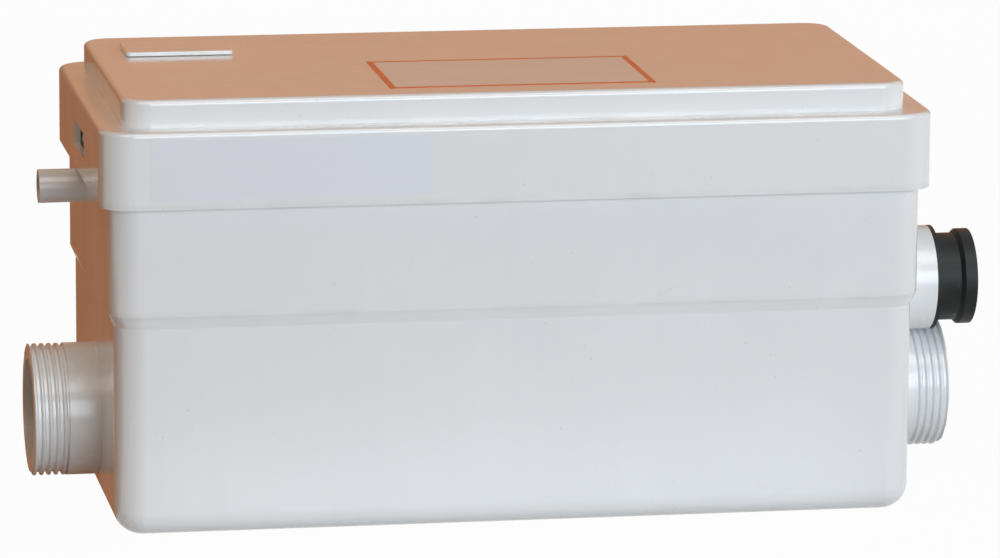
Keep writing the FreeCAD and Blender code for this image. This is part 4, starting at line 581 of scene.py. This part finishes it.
@dataclass(frozen=True)
class Windings(Finish):
    """Enamelled copper wire laid in bundles round the motor's axis."""

    wire: float = 0.7 * MILLI
    wire_depth: float = 0.18 * MILLI
    wander_size: float = 8.0 * MILLI
    wander_reach: float = 2.2 * MILLI
    varnish_size: float = 10.0 * MILLI
    varnish_depth: float = 0.04 * MILLI
    varnish_colour: Colour = (0.22, 0.07, 0.02)

    def mix(self, recipe: Recipe) -> bpy.types.Material:
        """Rounded strands that circle the motor, with painted shade in the grooves between them, glossy
        with impregnating varnish.

        Args:
            recipe: the material that is put together.

        Returns:
            The finished material.
        """
        middle = sum(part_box("stator_windings"), Vector()) / 2
        along, across, height = (recipe.axis(name) for name in "XYZ")
        radius = ((along - middle.x) ** 2.0 + (across - middle.y) ** 2.0) ** 0.5
        wander = recipe.noise(self.wander_size, 3.0) * self.wander_reach
        phase = (radius + height * 0.8 + wander) * (math.tau / self.wire)
        strand = phase.math("SINE").spread(0.5, 1.0)
        varnish = recipe.noise(self.varnish_size, 4.0).step(0.42, 0.75)
        # Painted shade: the copper darkens to a quarter of its colour in the grooves between strands
        shade = recipe.blend(strand, self.shade(0.25), self.colour)
        shade = recipe.blend(varnish * 0.4, shade, self.varnish_colour)
        rough = varnish.spread(self.roughness, self.roughness + 0.15)
        relief = recipe.relief((strand, self.wire_depth), (varnish, self.varnish_depth))
        return recipe.finish(
            Base_Color=shade, Roughness=rough, Metallic=0.7, Normal=relief,
            Coat_Weight=0.6, Coat_Roughness=0.15,
        )


@dataclass(frozen=True)
class Foam(Finish):
    """Open-cell foam loaded with active carbon."""

    cell: float = 1.6 * MILLI
    cell_depth: float = 0.4 * MILLI
    fine_share: float = 0.45
    fine_depth: float = 0.15 * MILLI

    def mix(self, recipe: Recipe) -> bpy.types.Material:
        """Open cells with thin struts, and holes darkened by painted shade.

        Args:
            recipe: the material that is put together.

        Returns:
            The finished material.
        """
        hole = recipe.cells(self.cell).step(0.55, 0.2)
        fine = recipe.cells(self.cell * self.fine_share).step(0.5, 0.2)
        # Painted shade in the cell holes, darker than the struts
        shade = recipe.blend(hole * 0.8, self.shade(1.6), self.shade(0.3))
        rough = fine.spread(self.roughness - 0.08, self.roughness)
        relief = recipe.relief((hole, -self.cell_depth), (fine, -self.fine_depth))
        return recipe.finish(Base_Color=shade, Roughness=rough, Normal=relief)


@dataclass(frozen=True)
class Film(Finish):
    """A thin sticker: printed film with a fine ripple."""

    rub_size: float = 18.0 * MILLI
    ripple_size: float = 22.0 * MILLI
    ripple_depth: float = 0.03 * MILLI

    def mix(self, recipe: Recipe) -> bpy.types.Material:
        """Film that lies almost flat, with rubbed ink.

        Args:
            recipe: the material that is put together.

        Returns:
            The finished material.
        """
        rub = recipe.noise(self.rub_size, 2.0).step(0.35, 0.85)
        shade = recipe.blend(rub * 0.25, self.colour, self.shade(0.96))
        rough = rub.spread(self.roughness, self.roughness + 0.06)
        relief = recipe.relief((recipe.noise(self.ripple_size, 1.0), self.ripple_depth))
        return recipe.finish(Base_Color=shade, Roughness=rough, Normal=relief, IOR=1.5)


# Levels along which the housing is darkened by dust and by painted shade in its crease and under its
# edges
TANK_FOOT = 1.2 * MILLI
TANK_CREASE = 88.5 * MILLI
UNDER_SKIRT = 131.2 * MILLI
SKIRT_FOOT = 132.5 * MILLI
COVER_LEDGE = 162.2 * MILLI

TANK_WHITE = GlossPlastic(
    "tank_white", Slot.TANK, (0.80, 0.815, 0.83), 0.17, seams=(TANK_CREASE, TANK_FOOT, UNDER_SKIRT)
)
COVER_WHITE = GlossPlastic(
    "cover_white", Slot.COVER, (0.81, 0.825, 0.835), 0.16, seams=(COVER_LEDGE, SKIRT_FOOT)
)
VENT_WHITE = GlossPlastic("vent_cover_white", Slot.COVER, (0.81, 0.825, 0.835), 0.2)
SPIGOT_WHITE = GlossPlastic(
    "spigot_white", Slot.TANK, (0.80, 0.815, 0.825), 0.24, mottle=0.06, coat=0.15
)
SLEEVE_RUBBER = Rubber("sleeve_rubber", Slot.RUBBER, (0.008, 0.009, 0.009), 0.46)
SEAL_RUBBER = Rubber("seal_rubber", Slot.RUBBER, (0.03, 0.03, 0.032), 0.5)
GREY_PLASTIC = SatinPlastic("grey_plastic", Slot.GREY, (0.42, 0.44, 0.45), 0.42)
PUMP_PLASTIC = SatinPlastic("pump_plastic", Slot.PUMP, (0.06, 0.06, 0.065), 0.45, fibres=0.35)
STAINLESS = Metal("stainless", Slot.STAINLESS, (0.62, 0.62, 0.61), 0.25)
MOTOR_CASTING = CastMetal("motor_casting", Slot.MOTOR, (0.5, 0.51, 0.52), 0.42)
LAMINATION = Laminations("laminations", Slot.LAMINATION, (0.33, 0.33, 0.35), 0.4)
COPPER = Windings("copper_windings", Slot.COPPER, (0.72, 0.3, 0.12), 0.25)
ZINC = Metal("zinc_plate", Slot.ZINC, (0.6, 0.6, 0.57), 0.35, tint=(0.55, 0.5, 0.3), tint_share=0.4)
CAN_PLASTIC = SatinPlastic("capacitor_can", Slot.CAPACITOR, (0.78, 0.78, 0.76), 0.35)
TERMINAL_PLASTIC = SatinPlastic("terminal_ivory", Slot.TERMINAL, (0.75, 0.74, 0.68), 0.38)
SWITCH_PLASTIC = SatinPlastic("switch_black", Slot.SWITCH, (0.09, 0.09, 0.1), 0.35)
BUTTON_PLASTIC = SatinPlastic("button_red", Slot.BUTTON, (0.6, 0.08, 0.05), 0.35)
GLAND_PLASTIC = SatinPlastic("gland_nylon", Slot.GLAND, (0.2, 0.21, 0.22), 0.4)
CARBON_FOAM = Foam("carbon_foam", Slot.CARBON, (0.04, 0.04, 0.04), 0.95)
LABEL_FILM = Film("label_film", Slot.COVER, (0.80, 0.81, 0.81), 0.22)
LABEL_INK = Film("label_border_ink", Slot.COVER, (0.72, 0.13, 0.03), 0.3)
FRONT_FILM = Film("front_film", Slot.COVER, (0.79, 0.82, 0.86), 0.12)


def deselect() -> None:
    """Leaves nothing selected and nothing in edit mode."""
    if bpy.context.object and bpy.context.object.mode != "OBJECT":
        bpy.ops.object.mode_set(mode="OBJECT")
    bpy.ops.object.select_all(action="DESELECT")


class Modeller:
    """One new piece, modelled by operators from a primitive."""

    def __init__(self, name: str, add: Callable[..., object], **settings: object) -> None:
        """Adds the primitive.

        Args:
            name: the piece's name.
            add: the operator that adds the primitive.
            settings: its size and place.
        """
        deselect()
        add(**settings)
        self.piece: bpy.types.Object = bpy.context.object
        self.piece.name = self.piece.data.name = name

    def settle(self) -> None:
        """Puts the object's turn and scale into its mesh, and leaves its origin where it is."""
        bpy.ops.object.transform_apply(location=False, rotation=True, scale=True)

    def enter_edit(self) -> None:
        """Goes to edit mode."""
        if self.piece.mode != "EDIT":
            bpy.ops.object.mode_set(mode="EDIT")

    def leave_edit(self) -> None:
        """Goes back to object mode."""
        if self.piece.mode != "OBJECT":
            bpy.ops.object.mode_set(mode="OBJECT")

    def select(self, element: Element, test: Callable[[Vector], bool]) -> None:
        """Selects what passes a test, in edit mode.

        Args:
            element: what is picked.
            test: it gets the middle of each element, in the object's own frame.
        """
        self.enter_edit()
        bpy.ops.mesh.select_mode(type=element.value)
        bpy.ops.mesh.select_all(action="DESELECT")
        mesh = bmesh.from_edit_mesh(self.piece.data)
        if element is Element.VERTEX:
            picked = [vertex for vertex in mesh.verts if test(vertex.co)]
        else:
            picked = [face for face in mesh.faces if test(face.calc_center_median())]
        for item in picked:
            item.select_set(True)
        mesh.select_flush_mode()
        bmesh.update_edit_mesh(self.piece.data)

    def select_all(self) -> None:
        """Selects the whole mesh, in edit mode."""
        self.enter_edit()
        bpy.ops.mesh.select_all(action="SELECT")

    def modifier(self, kind: str, **settings: object) -> None:
        """Adds a modifier and applies it.

        Args:
            kind: the modifier's type.
            settings: its options.
        """
        self.leave_edit()
        added = self.piece.modifiers.new(kind.lower(), kind)
        for name, value in settings.items():
            setattr(added, name, value)
        bpy.ops.object.modifier_apply(modifier=added.name)

    def done(self, body: str, *finishes: Finish, smooth: float = 35.0) -> bpy.types.Object:
        """Moves the origin to the frame's, smooths the faces and dresses the piece.

        Args:
            body: the body that the piece rides on.
            finishes: the finish of each material slot.
            smooth: the sharpest turn between smooth faces, in degrees.

        Returns:
            The finished piece.
        """
        self.leave_edit()
        bpy.ops.object.transform_apply(location=True, rotation=True, scale=True)
        bpy.ops.object.shade_smooth_by_angle(angle=math.radians(smooth))
        piece = self.piece
        for index, finish in enumerate(finishes):
            if index < len(piece.data.materials):
                piece.data.materials[index] = finish.material()
            else:
                piece.data.materials.append(finish.material())
        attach(piece, body)
        LOG.info("%s rides on %s", piece.name, body)
        return piece


@dataclass
class SubAssembly:
    """A group of construction nodes with their finishes, and the pieces that dress them."""

    nodes: dict[str, Finish] = field(default_factory=dict)

    def build(self) -> None:
        """Dresses the nodes and models the pieces."""
        for name, finish in self.nodes.items():
            self.dress(name, finish)
        for piece in self.pieces():
            LOG.info("%s: new piece %s", type(self).__name__, piece.name)

    def pieces(self) -> list[bpy.types.Object]:
        """The new pieces of this group. Most groups have none."""
        return []

    @staticmethod
    def dress(name: str, finish: Finish) -> None:
        """Gives a construction node its finish.

        Args:
            name: the node's name.
            finish: what its surface is.
        """
        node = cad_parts[name]
        if not node.material_slots:
            node.data.materials.append(None)
        for slot in node.material_slots:
            slot.material = finish.material()
        LOG.info("%s: %s", name, finish.name)


@dataclass
class Housing(SubAssembly):
    """The tank, its cover and the vent cover, with the blank stickers on the cover."""

    label_left: float = -49.0 * MILLI
    label_right: float = 57.0 * MILLI
    label_front: float = -61.0 * MILLI
    label_back: float = 2.0 * MILLI
    label_border: float = 2.5 * MILLI
    film_left: float = -146.0 * MILLI
    film_right: float = -36.0 * MILLI
    film_foot: float = 135.0 * MILLI
    film_head: float = 159.0 * MILLI
    film_thickness: float = 0.12 * MILLI
    film_corner: float = 1.5 * MILLI
    film_cuts: int = 6
    body_half_length: float = 159.3 * MILLI
    body_half_depth: float = 79.3 * MILLI
    body_corner: float = 12.0 * MILLI
    bottom_round: float = 10.0 * MILLI
    web_places: tuple[float, ...] = (-149.8 * MILLI, -32.0 * MILLI, 149.8 * MILLI)
    web_half: float = 1.0 * MILLI
    web_reach: float = 78.05 * MILLI
    web_foot: float = 3.0 * MILLI
    web_catch: float = 0.02 * MILLI
    merge_gap: float = 0.001 * MILLI

    def pieces(self) -> list[bpy.types.Object]:
        """The tank's moulded shell, the blank label on the top and the blank film on the skirt."""
        return [self.tank_shell(), self.top_label(), self.front_film()]

    def tank_shell(self) -> bpy.types.Object:
        """The tank, with the feet of its pillar webs drawn in flush with the rounded bottom edge.

        Returns:
            The finished piece, which stands for the construction node.
        """
        bench = Modeller("tank_shell", bpy.ops.mesh.primitive_plane_add, size=1.0)
        bench.piece.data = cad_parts["tank"].data.copy()
        bench.piece.data.name = "tank_shell"
        bpy.ops.mesh.customdata_custom_splitnormals_clear()
        bench.select_all()
        bpy.ops.mesh.remove_doubles(threshold=self.merge_gap)
        for place in self.web_places:
            for side in (-self.web_half, self.web_half):
                for end in (-self.web_reach, self.web_reach):
                    corner = Vector((place + side, end, self.web_foot))
                    bench.select(Element.VERTEX, lambda at: (at - corner).length < self.web_catch)
                    bpy.ops.transform.translate(value=self.flush(corner) - corner)
        shell = bench.done("station", TANK_WHITE, smooth=20.0)
        bench.modifier("WEIGHTED_NORMAL", keep_sharp=True)
        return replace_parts(shell, "tank")

    def flush(self, corner: Vector) -> Vector:
        """Where a web's corner comes to lie flush with the tank's rounded bottom edge.

        Args:
            corner: the corner as it is built.

        Returns:
            The corner on the rounding.
        """
        past_x = max(0.0, abs(corner.x) - self.body_half_length + self.body_corner)
        past_y = abs(corner.y) - self.body_half_depth + self.body_corner
        outward = Vector((math.copysign(past_x, corner.x), math.copysign(past_y, corner.y), 0.0))
        ring = corner - outward * (1.0 - (self.body_corner - self.bottom_round) / outward.length)
        ring.z = self.bottom_round
        return ring + (corner - ring).normalized() * self.bottom_round

    def sheet(self, name: str, middle: Point, width: float, height: float, turn: float = 0.0,
              border: float = 0.0) -> Modeller:
        """A flat sticker with rounded corners, still without thickness.

        Args:
            name: the piece's name.
            middle: its centre.
            width: its length along X.
            height: its length along Y before it is turned.
            turn: how far it is turned about X, in radians.
            border: the width of a frame along its edge.

        Returns:
            The sticker on the bench.
        """
        plane = bpy.ops.mesh.primitive_plane_add
        bench = Modeller(name, plane, size=1.0, location=middle, rotation=(turn, 0, 0))
        bench.piece.scale = (width, height, 1.0)
        bench.settle()
        bench.select_all()
        if border:
            bpy.ops.mesh.inset(thickness=border, depth=0.0)
        bench.select_all()
        bpy.ops.mesh.subdivide(number_cuts=self.film_cuts)
        corner = math.hypot(width, height) / 2 - self.film_corner / 2
        bench.select(Element.VERTEX, lambda at: at.length > corner)
        bpy.ops.mesh.bevel(offset=self.film_corner, segments=4, affect="VERTICES")
        return bench

    def top_label(self) -> bpy.types.Object:
        """The label with a coloured border and nothing printed inside.

        Returns:
            The finished piece.
        """
        width, depth = self.label_right - self.label_left, self.label_back - self.label_front
        middle_x = (self.label_left + self.label_right) / 2
        middle_y = (self.label_front + self.label_back) / 2
        middle = (middle_x, middle_y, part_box("cover")[1].z)
        bench = self.sheet("top_label", middle, width, depth, border=self.label_border)
        bench.leave_edit()
        bench.piece.data.materials.append(None)
        bench.piece.data.materials.append(None)
        inner_x, inner_y = width / 2 - self.label_border, depth / 2 - self.label_border
        bench.select(Element.FACE, lambda at: abs(at.x) > inner_x or abs(at.y) > inner_y)
        bench.piece.active_material_index = 1
        bpy.ops.object.material_slot_assign()
        bench.modifier("SOLIDIFY", thickness=self.film_thickness, offset=1.0)
        return bench.done("cover", LABEL_FILM, LABEL_INK)

    def front_film(self) -> bpy.types.Object:
        """The blank glossy film on the front of the cover's skirt.

        Returns:
            The finished piece.
        """
        width, height = self.film_right - self.film_left, self.film_head - self.film_foot
        middle_x = (self.film_left + self.film_right) / 2
        middle_z = (self.film_foot + self.film_head) / 2
        middle = (middle_x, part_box("cover")[0].y, middle_z)
        bench = self.sheet("front_film", middle, width, height, turn=math.pi / 2)
        bench.modifier("SOLIDIFY", thickness=self.film_thickness, offset=1.0)
        return bench.done("cover", FRONT_FILM)


@dataclass
class Inlets(SubAssembly):
    """The two threaded inlet spigots with their flaps."""

    spigot_radius: float = 26.5 * MILLI
    crest_radius: float = 26.45 * MILLI
    root_radius: float = 24.6 * MILLI
    thread_length: float = 14.0 * MILLI
    rim_gap: float = 0.15 * MILLI
    pitch: float = 2.9 * MILLI
    tooth: float = 2.3 * MILLI
    crest_share: float = 0.42
    round_share: float = 0.16
    steps_per_turn: int = 96
    merge_gap: float = 0.01 * MILLI

    def pieces(self) -> list[bpy.types.Object]:
        """The thread of each spigot."""
        return [self.thread(side) for side in Side]

    def thread(self, side: Side) -> bpy.types.Object:
        """A right-handed thread, cut off just inside the spigot's rim.

        Args:
            side: the end of the tank that the spigot stands on.

        Returns:
            The finished thread.
        """
        name = side.name.lower()
        low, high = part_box(f"inlet_spigot_{name}")
        axis_y, axis_z = (low.y + high.y) / 2, high.z - self.spigot_radius
        rim = max(abs(low.x), abs(high.x))
        shoulder = rim - self.thread_length
        near, far = sorted((side.value * (shoulder - self.tooth / 2), side.value * (rim + self.pitch)))
        height = self.crest_radius - self.root_radius
        middle = self.root_radius + height / 2
        bench = Modeller(
            f"inlet_thread_{name}", bpy.ops.mesh.primitive_plane_add, size=1.0,
            location=(near, axis_y, axis_z), rotation=(math.pi / 2, 0, 0),
        )
        bench.piece.scale = (self.tooth, height, 1.0)
        bench.settle()
        bench.select_all()
        bpy.ops.transform.translate(value=(0, 0, middle))
        bench.select(Element.VERTEX, lambda at: at.z > middle)
        crest = (near, axis_y, axis_z + self.crest_radius)
        bpy.ops.transform.resize(value=(self.crest_share, 1, 1), center_override=crest)
        bpy.ops.mesh.bevel(offset=height * self.round_share, segments=2, affect="VERTICES")
        bench.select_all()
        bpy.ops.mesh.delete(type="ONLY_FACE")
        turns = (far - near) / self.pitch
        steps = round(self.steps_per_turn * turns)
        bench.modifier(
            "SCREW", axis="X", angle=math.tau * turns, screw_offset=far - near,
            steps=steps, render_steps=steps, use_merge_vertices=False,
        )
        bench.select_all()
        bpy.ops.mesh.bisect(
            plane_co=(side.value * (rim - self.rim_gap), axis_y, axis_z), plane_no=(side.value, 0, 0),
            use_fill=False, clear_outer=True,
        )
        bench.select_all()
        bpy.ops.mesh.remove_doubles(threshold=self.merge_gap)
        bpy.ops.mesh.fill_holes(sides=0)
        bench.select_all()
        bpy.ops.mesh.normals_make_consistent(inside=False)
        return bench.done("station", SPIGOT_WHITE, smooth=50.0)


@dataclass(frozen=True)
class Lamp:
    """A soft lamp that points at the object."""

    name: str
    place: Point
    power: float
    colour: Colour
    width: float = 1.4
    height: float = 1.4
    gloss: bool = False
    aim: Point = (0.0, 0.0, 0.09)

    def build(self) -> None:
        """Hangs the lamp. Its reflection shows only if gloss is set."""
        data = bpy.data.lights.new(self.name, "AREA")
        data.shape, data.energy, data.color = "RECTANGLE", self.power, self.colour
        data.size, data.size_y = self.width, self.height
        lamp = bpy.data.objects.new(self.name, data)
        bpy.context.scene.collection.objects.link(lamp)
        lamp.location = self.place
        lamp.rotation_mode = "QUATERNION"
        lamp.rotation_quaternion = (Vector(self.aim) - Vector(self.place)).to_track_quat("-Z", "Y")
        lamp.visible_camera = False
        lamp.visible_glossy = self.gloss


@dataclass(frozen=True)
class Card:
    """A glowing card that is seen only in gloss, turned about X by its tilt in radians."""

    name: str
    place: Point
    width: float
    height: float
    colour: Colour
    strength: float = 1.0
    tilt: float = 0.0

    def build(self) -> None:
        """Stands the card up."""
        deselect()
        bpy.ops.mesh.primitive_plane_add(size=1.0, location=self.place, rotation=(self.tilt, 0.0, 0.0))
        card = bpy.context.object
        card.name = self.name
        card.scale = (self.width, self.height, 1.0)
        recipe = Recipe(self.name)
        light = {"Color": self.colour, "Strength": self.strength}
        recipe.show(recipe.node("ShaderNodeEmission", inputs=light))
        card.data.materials.append(recipe.material)
        card.visible_camera = False
        card.visible_diffuse = False
        card.visible_shadow = False
        card.visible_transmission = False


@dataclass
class Studio:
    """The floor, the lamps and the camera. None of it belongs to the object.

    A key lamp stands beside the camera and weaker lamps light the other sides. Of the cards, the warm
    ones show in the top and the left end, and the white one in the rounded edges.
    """

    floor_reach: float = 30.0
    floor_colour: Colour = (0.52, 0.48, 0.45)
    floor_white: float = 0.97
    world_colour: Colour = (1.0, 0.73, 0.52)
    world_strength: float = 0.21
    position: Point = (-0.4242, -2.4604, 0.5940)
    yaw: float = 9.91
    pitch: float = 11.56
    roll: float = 0.35
    focal_pixels: float = 6306.0
    picture_width: float = 1000.0
    sensor: float = 36.0
    nearest: float = 0.05
    farthest: float = 100.0
    lamps: tuple[Lamp, ...] = (
        Lamp("key", (0.55, -2.3, 0.42), 43.5, (0.78, 0.90, 1.0), gloss=True),
        Lamp("low", (0.0, -0.112, 0.002), 0.022, (0.85, 0.95, 1.0), width=0.31, height=0.04),
        Lamp("top", (-0.6, -0.1, 1.6), 3.8, (1.0, 0.60, 0.35), width=0.7, height=0.7),
        Lamp("right", (2.2, -0.4, 0.5), 14.0, (0.94, 0.98, 1.0)),
        Lamp("back", (0.5, 2.4, 0.3), 26.0, (0.84, 0.94, 1.0)),
        Lamp("left", (-2.2, 0.2, 0.4), 1.3, (1.0, 0.55, 0.28)),
    )
    cards: tuple[Card, ...] = (
        Card("card_back", (0.35, 1.1, 0.45), 2.2, 1.0, (0.72, 0.30, 0.12), tilt=math.pi / 2),
        Card("card_left", (-0.4065, 0.16, 0.09), 0.5, 0.18, (0.36, 0.11, 0.03), tilt=math.pi / 2),
        Card("card_low", (-0.4, 0.05, 0.002), 0.5, 0.22, (0.36, 0.12, 0.035)),
        Card("card_high", (0.1, -0.9, 1.3), 2.4, 0.8, (1.0, 0.99, 0.97), strength=5.0, tilt=0.64),
    )

    def build(self) -> None:
        """Sets the stage."""
        self.camera()
        self.floor()
        self.world()
        for fitting in (*self.lamps, *self.cards):
            fitting.build()
        bpy.context.scene.view_settings.view_transform = "Standard"

    def camera(self) -> None:
        """The camera at the viewing angle of the reference picture."""
        yaw, pitch, roll = (math.radians(angle) for angle in (self.yaw, self.pitch, self.roll))
        level_share = math.cos(pitch)
        ahead = Vector((math.sin(yaw) * level_share, math.cos(yaw) * level_share, -math.sin(pitch)))
        level = Vector((math.cos(yaw), -math.sin(yaw), 0.0))
        upward = level.cross(ahead)
        right = math.cos(roll) * level + math.sin(roll) * upward
        upward = math.cos(roll) * upward - math.sin(roll) * level
        data = bpy.data.cameras.new("camera")
        data.sensor_width = self.sensor
        data.lens = self.focal_pixels * self.sensor / self.picture_width
        data.clip_start, data.clip_end = self.nearest, self.farthest
        camera = bpy.data.objects.new("camera", data)
        bpy.context.scene.collection.objects.link(camera)
        turn = Matrix((right, upward, -ahead)).transposed()
        camera.matrix_world = Matrix.LocRotScale(Vector(self.position), turn.to_quaternion(), None)
        bpy.context.scene.camera = camera

    def floor(self) -> None:
        """A plain pale floor that keeps the object's shadow."""
        deselect()
        bpy.ops.mesh.primitive_plane_add(size=self.floor_reach)
        plane = bpy.context.object
        plane.name = "floor"
        recipe = Recipe("floor")
        diffuse = recipe.node("ShaderNodeBsdfDiffuse", inputs={"Color": self.floor_colour})
        glow = recipe.node("ShaderNodeEmission")
        share = recipe.seen() * self.floor_white
        recipe.show(recipe.node("ShaderNodeMixShader", inputs={0: share, 1: diffuse, 2: glow}))
        plane.data.materials.append(recipe.material)

    def world(self) -> None:
        """A soft even light from all round, seen as white."""
        world = bpy.data.worlds.new("studio")
        bpy.context.scene.world = world
        world.use_nodes = True
        wiring = Wiring(world.node_tree, "ShaderNodeOutputWorld")
        even = {"Color": self.world_colour, "Strength": self.world_strength}
        light = wiring.node("ShaderNodeBackground", inputs=even)
        white = wiring.node("ShaderNodeBackground", inputs={"Color": WHITE})
        wiring.show(wiring.node("ShaderNodeMixShader", inputs={0: wiring.seen(), 1: light, 2: white}))


def groups() -> list[SubAssembly]:
    """The object's sub-assemblies.

    Returns:
        The groups, from the outside in.
    """
    return [
        Housing({
            "tank": TANK_WHITE, "cover": COVER_WHITE, "vent_cover": VENT_WHITE,
            "carbon_filter": CARBON_FOAM, "cover_gasket": SEAL_RUBBER, "deck": GREY_PLASTIC,
            "deck_screws": STAINLESS, "discharge_socket": SPIGOT_WHITE, "vent_nipple": SPIGOT_WHITE,
        }),
        Inlets({
            "inlet_spigot_left": SPIGOT_WHITE, "inlet_spigot_right": SPIGOT_WHITE,
            "inlet_flap_left": SEAL_RUBBER, "inlet_flap_right": SEAL_RUBBER,
            "inlet_flap_pins": STAINLESS,
        }),
        SubAssembly({
            "outlet_sleeve": SLEEVE_RUBBER, "valve_housing": GREY_PLASTIC, "outlet_flap": SEAL_RUBBER,
            "outlet_flap_pin": STAINLESS, "discharge_hose": SEAL_RUBBER, "hose_clamps": STAINLESS,
        }),
        SubAssembly({
            "pump_feet": SEAL_RUBBER, "suction_plate": PUMP_PLASTIC, "volute_casing": PUMP_PLASTIC,
            "casing_screws": STAINLESS, "impeller": GREY_PLASTIC, "impeller_nut": STAINLESS,
            "seal_plate": PUMP_PLASTIC, "shaft_seal": SEAL_RUBBER,
        }),
        SubAssembly({
            "lower_bearing": STAINLESS, "upper_bearing": STAINLESS, "shaft": STAINLESS,
            "rotor_core": LAMINATION, "motor_housing": MOTOR_CASTING, "motor_cap": MOTOR_CASTING,
            "tie_screws": ZINC, "stator_core": LAMINATION, "stator_windings": COPPER,
        }),
        SubAssembly({
            "pressure_bell": GREY_PLASTIC, "switch_diaphragm": SEAL_RUBBER, "switch_cap": GREY_PLASTIC,
            "switch_plunger": TERMINAL_PLASTIC, "switch_button": BUTTON_PLASTIC,
            "microswitch": SWITCH_PLASTIC, "switch_bracket": ZINC,
        }),
        SubAssembly({
            "run_capacitor": CAN_PLASTIC, "capacitor_clip": ZINC, "terminal_block": TERMINAL_PLASTIC,
            "cable_gland": GLAND_PLASTIC, "gland_nut": GLAND_PLASTIC,
        }),
    ]


def main() -> None:
    """Builds the looks in order."""
    logging.basicConfig(level=logging.INFO, format="%(name)s: %(message)s")
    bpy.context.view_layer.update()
    Studio().build()
    for group in groups():
        group.build()


if __name__ == "__main__":
    main()
